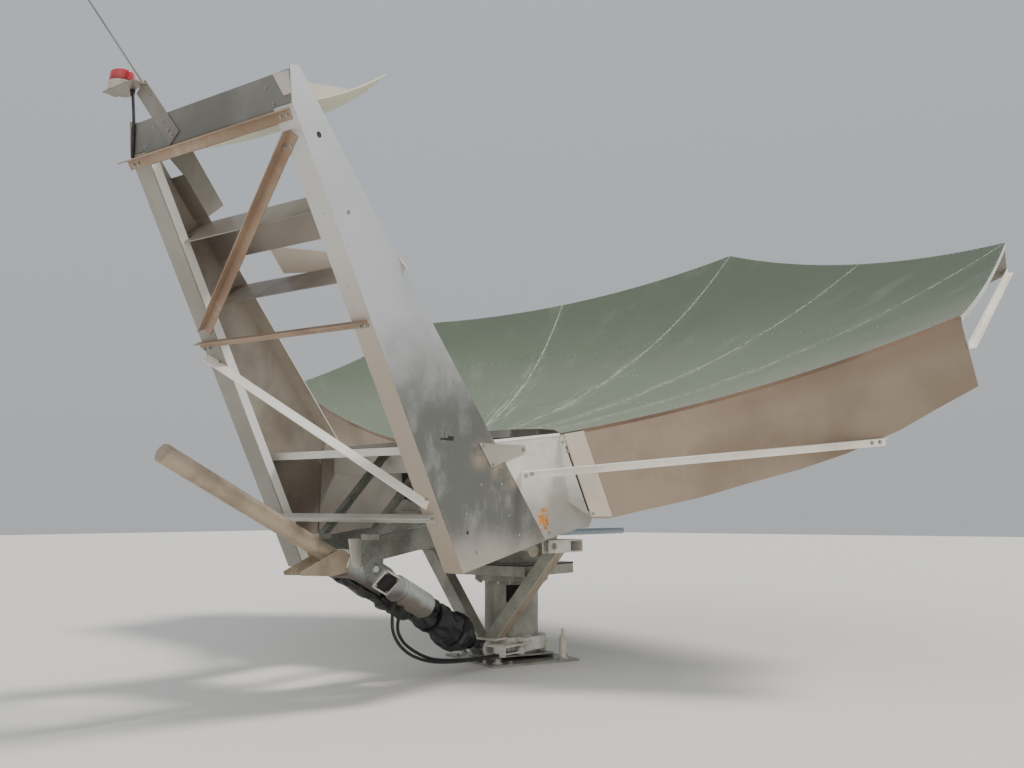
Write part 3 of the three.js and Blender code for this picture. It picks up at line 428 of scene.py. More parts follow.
def black_sheet():
    """Black plastic sheeting with creases and dusty ridges."""
    s = Shade("black_sheeting")
    creases = s.noise(11, 5, 0.6)
    dust = s.clouds(7, 5, 0.65, 0.5, 0.8)
    s.colour = s.mix(dust * 0.35, (36, 36, 39), (112, 107, 102))
    return s.finish(0.38 + dust * 0.3, 0.0, creases, 0.45, 0.02)


def rubber():
    s = Shade("cable_rubber")
    dust = s.clouds(14, 4, 0.6, 0.45, 0.75)
    s.colour = s.mix(dust * 0.3, (24, 23, 24), (84, 74, 64))
    return s.finish(0.55)


def zinc():
    s = Shade("bolt_zinc")
    worn = s.clouds(30, 3, 0.6, 0.45, 0.7)
    s.colour = s.mix(worn * 0.5, (168, 166, 160), (118, 104, 86))
    return s.finish(0.4 + worn * 0.2, 0.6)


def red_lens():
    """Red lens with upright moulded ribs."""
    s = Shade("red_lens")
    ribs = s.node("ShaderNodeTexWave", {"Vector": s.place, "Scale": 22.0}, bands_direction="Y")
    rim = s.step(s.axis(2), 4.85, 4.9, 1.0, 0.0)
    s.colour = s.mix(ribs * 0.4, (204, 44, 56), (158, 20, 34))
    s.lay(rim * 0.45, (110, 16, 26))
    return s.finish(0.2, 0.0, ribs, 0.35, 0.004, Coat_Weight=0.5)


def floor_finish():
    s = Shade("pale_floor")
    s.colour = s.mix(s.noise(0.6, 3, 0.5) * 0.2, (234, 230, 222), (224, 219, 210))
    return s.finish(0.85)


WEB_SHEET = near_web()
TOP_SHEET = sheet_aluminium("top_sheet", (146, 143, 134), (118, 115, 107), 0.5, 0.05)
FAR_BEAM = far_beam()
# A darker copy of the sheet aluminium for the parts that lie in shade: painted shade.
SHADED_SHEET = sheet_aluminium("shaded_sheet", (152, 143, 132), (116, 107, 97), 0.4)
GUSSET_SHEET = sheet_aluminium("gusset_sheet", (186, 180, 167), (158, 152, 139), 0.35)
HUB_SHEET = hub_sheet()
FEED_SHEET = sheet_aluminium("feed_sheet", (222, 210, 194), (198, 184, 168), 0.3)
SIDE_SHEET = dull_aluminium("side_sheet", (172, 154, 136), (162, 144, 126), 0.3, 0.08,
                            (134, 118, 100))
STRIP_SHEET = dull_aluminium("strip_sheet", (226, 212, 196), (210, 195, 178), 0.2, 0.2)
# Copies of one aluminium angle that differ only in painted light: near white as in sun, grey as lit from the
# sky, and brown as in shade.
SUNLIT_ANGLE = dull_aluminium("pale_angle", (250, 245, 236), (234, 226, 214), 0.0)
SKYLIT_ANGLE = dull_aluminium("grey_angle", (196, 194, 186), (168, 166, 158), 0.15)
SHADED_ANGLE = dull_aluminium("brown_angle", (172, 148, 128), (148, 124, 104), 0.2)
# Painted shadow: the brown strip that stands for the rim's shade along the top of each side plate.
RIM_SHADOW_STRIP = dull_aluminium("brown_edge", (138, 112, 92), (112, 90, 72), 0.2, 0.05)
PALE_STEEL = galvanised("pale_steel", (226, 221, 211), (200, 194, 183), 0.25, 0.15)
GALVANISED = galvanised("galvanised", (162, 160, 150), (134, 132, 122))
TAN_STEEL = galvanised("tan_steel", (176, 158, 136), (148, 131, 110), 0.3)
BLUE_GREY = paint("blue_grey_paint", (150, 164, 180), (112, 118, 124), 0.4, 0.1, 0.3)
LEG_STEEL = leg_steel()
DARK_STEEL = galvanised("dark_steel", (120, 122, 116), (94, 96, 90), 0.35)
SAGE = reflector_paint()
SEAM_CHALK = seam_chalk()
RIM_WHITE = dull_aluminium("rim_flange", (222, 220, 212), (198, 194, 184), 0.15)
CREAM = paint("cream_paint", (238, 232, 208), (206, 198, 170), 0.4, 0, 0.2)
PUCK_GREY = paint("beacon_grey", (196, 188, 172), (140, 128, 110), 0.5, 0.1, 0.4)
MOTOR_GREY = motor_paint()
BLACK_SHEET = black_sheet()
RUBBER = rubber()
ZINC = zinc()
LENS = red_lens()
SCREW_STEEL = paint("oiled_steel", (120, 120, 122), (48, 40, 32), 0.3, 0.85, 0.5)
# Black iron for the reducer's cover and hub and the sheeting ties; also painted shade, where dark plates
# stand for the hub drum, the web's openings, the hub slots and the head's shadow line.
BLACK_AND_GAP_SHADE = paint("black_iron", (34, 33, 33), (60, 54, 48), 0.6, 0.2, 0.4)


# Making pieces
def from_bmesh(name, bm):
    bmesh.ops.recalc_face_normals(bm, faces=bm.faces)
    mesh = bpy.data.meshes.new(name)
    bm.to_mesh(mesh)
    bm.free()
    return mesh


def piece(name, made, finish, body="elevation", smooth=None, hides=()):
    """Links a mesh or bmesh at the origin, gives it its finish and lets it ride on its body."""
    mesh = made if isinstance(made, bpy.types.Mesh) else from_bmesh(name, made)
    obj = bpy.data.objects.new(name, mesh)
    bpy.context.scene.collection.objects.link(obj)
    mesh.materials.clear()
    mesh.materials.append(finish)
    if smooth is not None:
        for face in mesh.polygons:
            face.use_smooth = True
        with bpy.context.temp_override(object=obj, active_object=obj, selected_objects=[obj],
                                       selected_editable_objects=[obj]):
            bpy.ops.object.shade_smooth_by_angle(angle=math.radians(smooth))
    if hides:
        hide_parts(*hides)
    if body:
        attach(obj, body)
    return obj


def round_turns(steps):
    """Even angles round a circle."""
    return [k * 2 * math.pi / steps for k in range(steps)]


def loft(bm, rows):
    """Joins rings of vertices to a wall, and closes both of its ends."""
    for a, b in zip(rows, rows[1:]):
        for k in range(len(a)):
            n = (k + 1) % len(a)
            bm.faces.new((a[k], a[n], b[n], b[k]))
    bm.faces.new(rows[0][::-1])
    bm.faces.new(rows[-1])


def grid_shell(bm, columns, rows, place, top, bottom):
    """A closed curved sheet: place(u, v, lift) puts a grid of points at its two lifts."""
    upper, lower = [[[bm.verts.new(place(i / columns, j / rows, lift)) for j in range(rows + 1)]
                     for i in range(columns + 1)] for lift in (top, bottom)]
    for i in range(columns):
        for j in range(rows):
            bm.faces.new((upper[i][j], upper[i + 1][j], upper[i + 1][j + 1], upper[i][j + 1]))
            bm.faces.new((lower[i][j + 1], lower[i + 1][j + 1], lower[i + 1][j], lower[i][j]))
    edge = [(i, 0) for i in range(columns)] + [(columns, j) for j in range(rows)]
    edge += [(i, rows) for i in range(columns, 0, -1)] + [(0, j) for j in range(rows, 0, -1)]
    for k, (i, j) in enumerate(edge):
        m, n = edge[(k + 1) % len(edge)]
        bm.faces.new((upper[m][n], upper[i][j], lower[i][j], lower[m][n]))


def plates(name, outlines, place, depths, finish, body="elevation"):
    """Flat plates of one finish: place(x, y, depth) puts each outline's points at both depths."""
    bm = bmesh.new()
    for outline in outlines:
        loft(bm, [[bm.verts.new(place(x, y, depth)) for x, y in outline] for depth in depths])
    return piece(name, bm, finish, body)


def boxes(name, corners, finish, body="elevation", place=Vector):
    """Square blocks of one finish, each as (low corner, high corner)."""
    bm = bmesh.new()
    for (x0, y0, z0), (x1, y1, z1) in corners:
        outline = [(x0, y0), (x1, y0), (x1, y1), (x0, y1)]
        loft(bm, [[bm.verts.new(place((x, y, z))) for x, y in outline] for z in (z0, z1)])
    return piece(name, bm, finish, body)


def turned(name, profile, centre, axis, finish, body="elevation", steps=48, hides=(), smooth=35,
           side=None):
    """A turned form: profile gives (distance along the axis, radius)."""
    if side is None:
        side = ALONG if abs(axis.z) == 1 else ACROSS
    up = axis.cross(side)
    bm = bmesh.new()
    rows = []
    for along, radius in profile:
        middle = centre + axis * along
        rows.append([bm.verts.new(middle + side * radius * math.cos(turn) + up * radius * math.sin(turn))
                     for turn in round_turns(steps)])
    loft(bm, rows)
    return piece(name, bm, finish, body, smooth, hides)


def disc(x, y, radius, steps=20):
    """The outline of a round plate."""
    return [(x + radius * math.cos(turn), y + radius * math.sin(turn)) for turn in round_turns(steps)]


# Places on the antenna
def half_width(z):
    return HALF_AT_GROUND - LEAN * z


def on_web(side):
    """Maps x, z and a depth to a place on a beam's leaning face."""
    return lambda x, z, depth: Vector((x, side * (half_width(z) - depth), z))


def on_front(y, z, out):
    run = Vector((FRONT_SLOPE, 0, 1)).normalized()
    return Vector((FRONT_X + FRONT_SLOPE * z, y, z)) + Vector((-run.z, 0, run.x)) * out


def dish_height(radius):
    return radius * radius / (4 * FOCAL)


def off_vertex(p, height):
    """A place from its plan across the dish and its height along the dish's axis."""
    place = VERTEX + DISH_ACROSS * p.x + DISH_AXIS * height
    place.y = p.y
    return place


def on_dish(p, lift=0.0):
    return off_vertex(p, dish_height(math.hypot(p.x, p.y)) + lift)


def on_seam(radius, seam, shift=0.0):
    angle = math.radians(seam)
    return Vector((radius * math.cos(angle) - shift * math.sin(angle),
                   radius * math.sin(angle) + shift * math.cos(angle)))


def on_side(side):
    """Maps a radius, a height along the dish's axis and a lift to a place on a side plate's outer face."""
    return lambda radius, height, out: off_vertex(on_seam(radius, side * SEAMS[6], side * out), height)


def rim_radius(seam):
    """The rim is straight between its corners."""
    turn = abs(seam)
    corners = [(0, RIM_MIDDLE), (SEAMS[5], RIM_CORNER), (SEAMS[6], RIM_SIDE)]
    k = 0 if turn <= SEAMS[5] else 1
    a, b = on_seam(corners[k][1], corners[k][0]), on_seam(corners[k + 1][1], corners[k + 1][0])
    ray, run = on_seam(1, turn), b - a
    return (a.x * run.y - a.y * run.x) / (ray.x * run.y - ray.y * run.x)


def on_jack(t, y=0.0, rise=0.0):
    return FOOT + JACK * t + JACK_RISE * rise + Vector((0, y, 0))


def on_reducer(t, across, out):
    """A place on the reducer's square cover, which faces near and down."""
    sin, cos = math.sin(REDUCER_TURN), math.cos(REDUCER_TURN)
    return on_jack(t, -0.17 - cos * out - sin * across, 0.016 - sin * out + cos * across)


REDUCER_OUT = on_reducer(0, 0, 1) - on_reducer(0, 0, 0)
REDUCER_ACROSS = on_reducer(0, 1, 0) - on_reducer(0, 0, 0)


# Geometry Nodes: what repeats
class Group(Tree):
    """A group that takes a geometry and named numbers, and gives a form on each point."""

    def __init__(self, name, **numbers):
        super().__init__(bpy.data.node_groups.new(name, "GeometryNodeTree"))
        ends = self.tree.interface
        ends.new_socket("Geometry", in_out="INPUT", socket_type="NodeSocketGeometry")
        for label, default in numbers.items():
            kind = "NodeSocketInt" if isinstance(default, int) else "NodeSocketFloat"
            ends.new_socket(label, in_out="INPUT", socket_type=kind).default_value = default
        ends.new_socket("Geometry", in_out="OUTPUT", socket_type="NodeSocketGeometry")
        given = self.tree.nodes.new("NodeGroupInput").outputs
        self.given = {label: Value(self, given[label]) for label in ("Geometry", *numbers)}

    def facing(self):
        """The rotation that turns Z to a point's own facing."""
        way = self.node("GeometryNodeInputNamedAttribute", {"Name": "facing"}, "Attribute",
                        data_type="FLOAT_VECTOR")
        return self.node("FunctionNodeAlignRotationToVector", {"Vector": way}, axis="Z")

    def spread(self, finish, inputs):
        """Ends the group with painted copies; inputs are those of the node that makes the copies."""
        copies = self.node("GeometryNodeInstanceOnPoints", inputs)
        real = self.node("GeometryNodeRealizeInstances", {"Geometry": copies})
        painted = self.node("GeometryNodeSetMaterial", {"Geometry": real, "Material": finish})
        self.node("NodeGroupOutput", {0: painted})
        return self.tree


def bolt_tree():
    """Puts a bolt head with a washer under it on each point."""
    g = Group("bolts", Width=0.03, Height=0.012, Seed=5)
    width, height = g.given["Width"], g.given["Height"]
    head = g.node("GeometryNodeMeshCylinder", {"Vertices": 6, "Radius": width * 0.5, "Depth": height})
    lift = g.node("ShaderNodeCombineXYZ", {2: height * 0.5})
    raised = g.node("GeometryNodeTransform", {"Geometry": head, "Translation": lift})
    sizes = {"Vertices": 14, "Radius": width * 0.82, "Depth": height * 0.4}
    washer = g.node("GeometryNodeMeshCylinder", sizes)
    both = g.node("GeometryNodeJoinGeometry", {0: raised})
    g.tree.links.new(washer.socket, both.socket.node.inputs[0])
    spin = g.node("FunctionNodeRandomValue", {"Seed": g.given["Seed"], 3: SIXTH_TURN}, 1, data_type="FLOAT")
    about = g.node("ShaderNodeCombineXYZ", {2: spin})
    rotation = g.node("FunctionNodeRotateRotation", {0: g.facing(), 1: about}, rotation_space="LOCAL")
    return g.spread(ZINC, {"Points": g.given["Geometry"], "Instance": both, "Rotation": rotation})


def rivet_tree():
    """Puts a low rivet dome on each point."""
    g = Group("rivets", Width=0.02)
    ball = g.node("GeometryNodeMeshUVSphere", {"Radius": g.given["Width"] * 0.5, "Segments": 8, "Rings": 4})
    low = g.node("GeometryNodeTransform", {"Geometry": ball, "Scale": (1, 1, 0.4)})
    return g.spread(ZINC, {"Points": g.given["Geometry"], "Instance": low, "Rotation": g.facing()})


def rib_tree():
    """A row of straight cast ribs along X, each standing up in Z."""
    g = Group("ribs", Count=8, Pitch=0.018, Length=0.15, Thickness=0.006, Height=0.006)
    sizes = g.given
    pitch = g.node("ShaderNodeCombineXYZ", {0: sizes["Pitch"]})
    line = g.node("GeometryNodeMeshLine", {"Count": sizes["Count"], "Offset": pitch})
    size = g.node("ShaderNodeCombineXYZ", {0: sizes["Thickness"], 1: sizes["Length"], 2: sizes["Height"]})
    return g.spread(MOTOR_GREY, {"Points": line, "Instance": g.node("GeometryNodeMeshCube", {"Size": size})})


BOLTS = bolt_tree()
RIVETS = rivet_tree()
RIBS = rib_tree()


def grown(name, mesh, tree, values, finish, body, smooth=None):
    """Runs a Geometry Nodes tree on a mesh and keeps the plain result."""
    carrier = bpy.data.objects.new(name + "_carrier", mesh)
    bpy.context.scene.collection.objects.link(carrier)
    modifier = carrier.modifiers.new("nodes", "NODES")
    modifier.node_group = tree
    for item in tree.interface.items_tree:
        if item.in_out == "INPUT" and item.name in values:
            modifier[item.identifier] = values[item.name]
    carrier.update_tag()
    bpy.context.view_layer.update()
    graph = bpy.context.evaluated_depsgraph_get()
    made = bpy.data.meshes.new_from_object(carrier.evaluated_get(graph))
    carrier.modifiers.remove(modifier)
    bpy.data.objects.remove(carrier)
    made.name = name
    return piece(name, made, finish, body, smooth)


def fasteners(name, spots, tree, values, finish, body):
    """Fasteners at a list of (place, facing)."""
    mesh = bpy.data.meshes.new(name + "_spots")
    mesh.from_pydata([tuple(place) for place, _ in spots], [], [])
    facing = mesh.attributes.new("facing", "FLOAT_VECTOR", "POINT")
    for k, (_, way) in enumerate(spots):
        facing.data[k].vector = way
    grown(name, mesh, tree, values, finish, body, 30)


def bolts(name, spots, width, height, body="elevation"):
    fasteners(name, spots, BOLTS, {"Width": width, "Height": height}, ZINC, body)


def rivets(name, spots, width, finish):
    fasteners(name, spots, RIVETS, {"Width": width}, finish, "elevation")


# Cables: the same routes as their solids
def smooth_path(points, count):
    """Catmull-Rom points through a list of places, with centripetal spacing."""
    dense = []
    last = len(points) - 1
    for i in range(last):
        p1, p2 = points[i], points[i + 1]
        p0 = points[i - 1] if i else p1 * 2 - p2
        p3 = points[i + 2] if i + 2 <= last else p2 * 2 - p1
        d = [max(1e-6, (b - a).length ** 0.5) for a, b in ((p0, p1), (p1, p2), (p2, p3))]
        t1 = (p1 - p0) / d[0] - (p2 - p0) / (d[0] + d[1]) + (p2 - p1) / d[1]
        t2 = (p2 - p1) / d[1] - (p3 - p1) / (d[1] + d[2]) + (p3 - p2) / d[2]
        t1, t2 = t1 * d[1], t2 * d[1]
        for k in range(10):
            u = k / 10
            dense.append(p1 + t1 * u + (p2 * 3 - p1 * 3 - t1 * 2 - t2) * u * u
                         + (p1 * 2 - p2 * 2 + t1 + t2) * u * u * u)
    dense.append(points[-1])
    lengths = [0.0]
    for a, b in zip(dense, dense[1:]):
        lengths.append(lengths[-1] + (b - a).length)
    result = []
    for i in range(count + 1):
        want = lengths[-1] * i / count
        k = min(max(j for j in range(len(lengths)) if lengths[j] <= want + 1e-9), len(dense) - 2)
        share = (want - lengths[k]) / max(1e-9, lengths[k + 1] - lengths[k])
        result.append(dense[k].lerp(dense[k + 1], min(1.0, share)))
    return result, lengths[-1]


def tube(path, radius, turns=14):
    bm = bmesh.new()
    rows = []
    side = None
    for i, place in enumerate(path):
        ahead = (path[min(i + 1, len(path) - 1)] - path[max(i - 1, 0)]).normalized()
        if side is None:
            side = ahead.orthogonal().normalized()
        side = (side - ahead * side.dot(ahead)).normalized()
        up = ahead.cross(side)
        rows.append([bm.verts.new(place + (side * math.cos(turn) + up * math.sin(turn)) * radius)
                     for turn in round_turns(turns)])
    loft(bm, rows)
    return bm


def hose(name, points, count, radius, node, body):
    """A stiff round cord through the points, which stands for a node."""
    path, length = smooth_path(points, count)
    obj = piece(name, tube(path, radius), RUBBER, body, 50, [node])
    return obj, path[0]


def strain_relief(name, place, radius):
    """A ribbed taper round a cable where it leaves the motor."""
    profile = [(0, radius * 1.7), (0.012, radius * 1.7), (0.014, radius * 1.45)]
    for k in range(4):
        start = 0.016 + k * 0.009
        wide = radius * (1.42 - k * 0.09)
        profile += [(start, wide), (start + 0.005, wide), (start + 0.006, wide * 0.92)]
    turned(name, profile, place, -JACK_RISE, RUBBER, HOUSING, 20)


def make_cables():
    routes = {
        "motor_cable_1": (1.64, -0.242, -0.242, [
            (-2.084, 0.494), (-2.018, 0.382), (-1.894, 0.285), (-1.72, 0.211), (-1.522, 0.163),
            (-1.316, 0.138), (-1.144, 0.125)]),
        "motor_cable_2": (1.55, -0.204, -0.208, [
            (-1.974, 0.47), (-1.906, 0.372), (-1.791, 0.295), (-1.634, 0.223), (-1.494, 0.18),
            (-1.306, 0.15), (-1.144, 0.132)]),
    }
    for node, (t, y, end_y, middle) in routes.items():
        points = [on_jack(t, MOTOR_Y, MOTOR_RISE - MOTOR_R - SEAT), on_jack(t, MOTOR_Y, -0.195)]
        points += [Vector((x, y, z)) for x, z in middle]
        points += [Vector((x, end_y, z)) for x, z in ((-0.9, 0.114), (-0.7, 0.11), (-0.5723, 0.11))]
        cable, start = hose(node + "_hose", points, 120, CABLE_R, node, None)
        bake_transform(cable)
        strain_relief(node + "_relief", start, CABLE_R)
    hanger = BAR_FACE - 0.012 + SEAT
    points = [Vector((hanger, y, z)) for y, z in ((0.905, 4.749), (0.868, 4.47), (0.862, 4.187))]
    hose("beacon_lead", points, 40, LEAD_R, "beacon_cable", "elevation")


make_cables()


# Main reflector
RIM_DEEP = 0.06
SPLICE = [(1.105, 0.023), (1.288, 0.036), (1.464, -0.785), (1.272, -0.768)]
SIDE_END = [(4.79, 0.062), (4.797, 0.072), (4.7, 0.684), (4.69, 0.684), (4.7, 0.3)]
HUB_CHEEK = [(1.0, 0.0), (1.095, 0.014), (1.262, -0.76), (1.19, -0.705), (1.0, -0.55)]
HUB_SLOT = [(1.105, -0.09), (1.117, -0.09), (1.256, -0.715), (1.243, -0.715)]
LOWER_EDGE = [(1.28, -0.787), (1.43, -0.801), (1.81, -0.749), (2.29, -0.688), (2.74, -0.598), (3.18, -0.523),
              (3.61, -0.421), (4.1, -0.255), (4.43, -0.101), (4.8, 0.063)]
ZED = [(0, -0.005), (0.04, -0.005), (0.04, -0.008), (0.003, -0.008), (0.003, -0.08), (-0.03, -0.08),
       (-0.03, -0.077), (0, -0.077)]


def panel_place(k):
    start, end = SEAMS[k], SEAMS[k + 1]
    gap = PANEL_GAP / 2
    inner = (on_seam(INNER_RADIUS, start, gap), on_seam(INNER_RADIUS, end, -gap))
    outer = (on_seam(rim_radius(start), start, gap), on_seam(rim_radius(end), end, -gap))

    def place(u, v, lift):
        return on_dish(inner[0].lerp(outer[0], u).lerp(inner[1].lerp(outer[1], u), v), lift)
    return place


def make_panels():
    for k in range(6):
        bm = bmesh.new()
        grid_shell(bm, 40, 16, panel_place(k), 0, -SKIN)
        panel = f"reflector_panel_{k + 1}"
        piece(f"reflector_skin_{k + 1}", bm, SAGE, smooth=20, hides=[panel])


def seam_strips():
    """Narrow sealed strips over the joints of the panels."""
    short, wide = 0.01, 0.014
    bm = bmesh.new()
    for seam in SEAMS[1:6]:
        long = rim_radius(seam) - short - INNER_RADIUS - short

        def place(u, v, lift):
            return on_dish(on_seam(INNER_RADIUS + short + u * long, seam, (v - 0.5) * wide), lift)
        grid_shell(bm, 40, 1, place, 0.0015, 0.0002)
    piece("seam_strips", bm, SEAM_CHALK, smooth=30)


def rim_points(steps):
    """Points along the rim from the near side to the far side, with the seams' corners."""
    corners = [on_seam(rim_radius(seam), seam) for seam in SEAMS]
    return [a.lerp(b, i / steps) for a, b in zip(corners, corners[1:]) for i in range(steps)] + corners[-1:]


def rim_flange():
    """A pale lip that stands down under the rim."""
    bm = bmesh.new()
    top = -SKIN - 0.0005
    rows = []
    for p in rim_points(12):
        q = p - p.normalized() * 0.005
        corners = ((p, top), (p, -RIM_DEEP), (q, -RIM_DEEP), (q, top))
        rows.append([bm.verts.new(on_dish(corner, lift)) for corner, lift in corners])
    loft(bm, rows)
    piece("rim_flange", bm, RIM_WHITE, smooth=30)


def hoop_point(k, radius, share):
    a = on_seam(min(radius, rim_radius(SEAMS[k])), SEAMS[k], 0.012)
    b = on_seam(min(radius, rim_radius(SEAMS[k + 1])), SEAMS[k + 1], -0.012)
    return a.lerp(b, share)


def dish_rivets():
    """Rivets beside the seams, along both sides and the rim, and over the hoops."""
    pitch, side_pitch, beside, inside = 0.11, 0.12, 0.028, 0.03
    places = []
    for seam in SEAMS[1:6]:
        count = int((rim_radius(seam) - INNER_RADIUS) / pitch)
        places += [on_seam(INNER_RADIUS + i * pitch, seam, shift)
                   for i in range(1, count) for shift in (-beside, beside)]
    for side, shift in ((SEAMS[0], inside), (SEAMS[6], -inside)):
        places += [on_seam(INNER_RADIUS + i * side_pitch, side, shift) for i in range(1, 30)]
    places += [p * (1 - inside / p.length) for p in rim_points(26)[1:-1]]
    places += [hoop_point(k, radius, i / 16) for radius in HOOPS for k in range(6) for i in range(1, 16)]
    spots = []
    for p in places:
        facing = DISH_AXIS - (DISH_ACROSS * p.x + Vector((0, p.y, 0))) / (2 * FOCAL)
        spots.append((on_dish(p, 0.001), facing.normalized()))
    rivets("dish_rivets", spots, 0.016, SEAM_CHALK)


def stiffeners():
    """Zed-shaped hoops under the panels, from rib to rib."""
    bm = bmesh.new()
    for radius in HOOPS:
        for k in range(6):
            points = [hoop_point(k, radius, i / 12) for i in range(13)]
            loft(bm, [[bm.verts.new(on_dish(p * (1 + x / p.length), lift - 0.001)) for x, lift in ZED]
                      for p in points])
    piece("panel_stiffeners", bm, SHADED_SHEET)


def side_details():
    radii = [1.3 + i * 0.1 for i in range(34)] + [4.697]
    edge = [(r, dish_height(r) + 0.001) for r in radii]
    edge += [(r, dish_height(r) - 0.032) for r in reversed(radii)]
    heads = [(1.085, -0.05), (1.12, -0.14), (1.29, -0.74), (1.25, -0.74)]
    shares = [(k + 0.5) / 9 for k in range(9)]
    splice = [(1.078 + inset + share * 0.18, 0.02 - share * 0.78)
              for share in shares for inset in (0.025, 0.185)]
    row = [(1.6 + i * 0.12, dish_height(1.6 + i * 0.12) - 0.035) for i in range(26)]
    for word, side in SIDES:
        face = on_side(side)

        def spots(places, lift):
            return [(face(r, h, lift), face(r, h, lift + 1) - face(r, h, lift)) for r, h in places]
        plates(f"splice_strip_{word}", [SPLICE], face, (SEAT, 0.004), STRIP_SHEET)
        plates(f"hub_cheek_{word}", [HUB_CHEEK], face, (SEAT, 0.0035), HUB_SHEET)
        # Painted shade: a dark strip for the shaded gap beside the hub cheek.
        plates(f"hub_slot_{word}", [HUB_SLOT], face, (0.003, 0.005), BLACK_AND_GAP_SHADE)
        bolts(f"cheek_bolts_{word}", spots(heads, 0.004), 0.02, 0.01)
        rivets(f"splice_rivets_{word}", spots(splice, 0.004), 0.014, STRIP_SHEET)
        rivets(f"side_rivets_{word}", spots(row, 0.0005), 0.014, SIDE_SHEET)
        # Painted shadow: a brown strip along the top of each side plate, just under the dish's skin.
        plates(f"side_shadow_strip_{word}", [edge], face, (-0.0015, 0.0006), RIM_SHADOW_STRIP)
        plates(f"side_end_{word}", [SIDE_END], face, (-0.01, SEAT), SIDE_SHEET)

        bm = bmesh.new()
        for first, second in zip(LOWER_EDGE, LOWER_EDGE[1:]):
            corners = [face(r, h + 0.001, -depth) for (r, h), depth in (
                (first, 0.013), (second, 0.013), (second, 0.07), (first, 0.07))]
            loft(bm, [[bm.verts.new(p + DISH_AXIS * lift) for p in corners] for lift in (0, 0.005)])
        piece(f"side_lower_lip_{word}", bm, SIDE_SHEET)


make_panels()
seam_strips()
rim_flange()
dish_rivets()
stiffeners()
side_details()


# Subreflector: a smooth moulded shell
def make_subreflector():
    back, tip, wide = -0.56, 0.64, 0.76
    middle = SUB_THICK / 2
    sin, cos = math.sin(SUB_PITCH), math.cos(SUB_PITCH)

    def place(u, v, lift):
        trim = 0.09 * abs(2 * v - 1) ** 4
        edge = min(1.0, 8 * min(u, 1 - u, v, 1 - v) + 0.25)
        s, y = back + trim + u * (tip - back - 2 * trim), (2 * v - 1) * wide
        bend = s * s / (2 * LONG_BEND) + y * y / (2 * CROSS_BEND) + (middle + (lift - middle) * edge)
        return Vector((SUB_CENTRE.x + s * cos - bend * sin, y, SUB_CENTRE.z + s * sin + bend * cos))
    bm = bmesh.new()
    grid_shell(bm, 48, 60, place, SUB_THICK, 0)
    piece("subreflector_shell", bm, CREAM, smooth=60, hides=["subreflector"])


make_subreflector()


# Beacon
def make_beacon():
    centre = Vector((BAR_FACE - 0.02, 1.04, 0))
    dome = [(4.8383, 0.06), (4.839, 0.096), (4.845, 0.099), (4.851, 0.099), (4.853, 0.0965), (4.908, 0.0935)]
    for k in range(1, 9):
        turn = math.radians(k * 11)
        dome.append((4.908 + 0.033 * math.sin(turn), 0.02 + 0.0735 * math.cos(turn)))
    turned("beacon_dome", dome, centre, UP, LENS, hides=["beacon_lens"], smooth=40)
    collar = [(4.7625, 0.0885), (4.7625, 0.103), (4.779, 0.105), (4.782, 0.1), (4.81, 0.1), (4.813, 0.104),
              (4.832, 0.104), (4.837, 0.0885)]
    turned("beacon_collar", collar, centre, UP, PUCK_GREY)
    gland = [(0, 0.021), (0.014, 0.021), (0.016, 0.018), (0.05, 0.0145), (0.052, 0.0125)]
    turned("beacon_gland", gland, Vector((BAR_FACE - LEAD_R, 0.905, 4.7515)), -UP, RUBBER, steps=20)
    bar = [(Vector((-3.9626, y, z)), -ALONG) for y, z in ((0.5, 4.4), (0.43, 4.31), (0.39, 4.27))]
    bolts("bracket_bolts", bar, 0.026, 0.012)


make_beacon()


# Small plates and bolts at the top of the beams
def make_top_details():
    def on_top(y, z, out):
        return Vector((TOP_FACE - out, y, z))
    clip = [(-0.7, 4.462), (-0.86, 4.455), (-0.893, 4.28), (-0.82, 4.28)]
    plates("top_clip", [clip], on_top, (SEAT, 0.006), FEED_SHEET)
    heads = [(-0.632, 4.382), (-0.72, 4.245), (0.62, 4.382), (0.72, 4.245)]
    bolts("top_plate_bolts", [(on_top(y, z, 0.0), -ALONG) for y, z in heads], 0.022, 0.01)


make_top_details()


# Elevation jack
SHEETING_STEP, SHEETING_LEAST, TIE_REACH = 0.007, 0.045, 0.02
TIE_WIDE = 0.018


def share_between(profile, t):
    """The value of a profile of (t, value) corners at t."""
    for (t0, r0), (t1, r1) in zip(profile, profile[1:]):
        if t <= t1:
            return r0 + (r1 - r0) * max(0.0, t - t0) / (t1 - t0)
    return profile[-1][1]


def crumple(angle, t):
    """How far loose sheeting folds in and out, in metres."""
    spot = Vector((math.cos(angle) * 1.5, math.sin(angle) * 1.5, t * 6))
    folds = noise.noise(spot * 0.9) * 0.05 + noise.noise(spot * 2.1) * 0.014
    ridge = (1 - abs(noise.noise(Vector((spot.x, spot.y, spot.z * 0.5 + 9))))) ** 3 * 0.028
    return folds + ridge - 0.022


def sheeting(name, profile, ties, rise, roof, body, hides):
    """Crumpled black sheeting round the screw: profile gives its largest radius, ties pinch it."""
    start, end = profile[0][0], profile[-1][0]
    steps = int((end - start) / SHEETING_STEP)
    bm = bmesh.new()
    rows = []
    for i in range(steps + 1):
        t = start + (end - start) * i / steps
        pinch = max(math.exp(-((t - tie) / TIE_REACH) ** 2) for tie in ties)
        most = share_between(profile, t)
        row = []
        for angle in round_turns(120):
            radius = most * 0.92 + crumple(angle, t) - pinch * 0.03
            radius = max(SHEETING_LEAST, min(radius, most))
            height = min(rise + radius * math.sin(angle), roof if t >= GEAR_START - 0.006 else 1.0)
            row.append(bm.verts.new(on_jack(t, radius * math.cos(angle), height)))
        rows.append(row)
    loft(bm, rows)
    piece(name, bm, BLACK_SHEET, body, 50, hides)


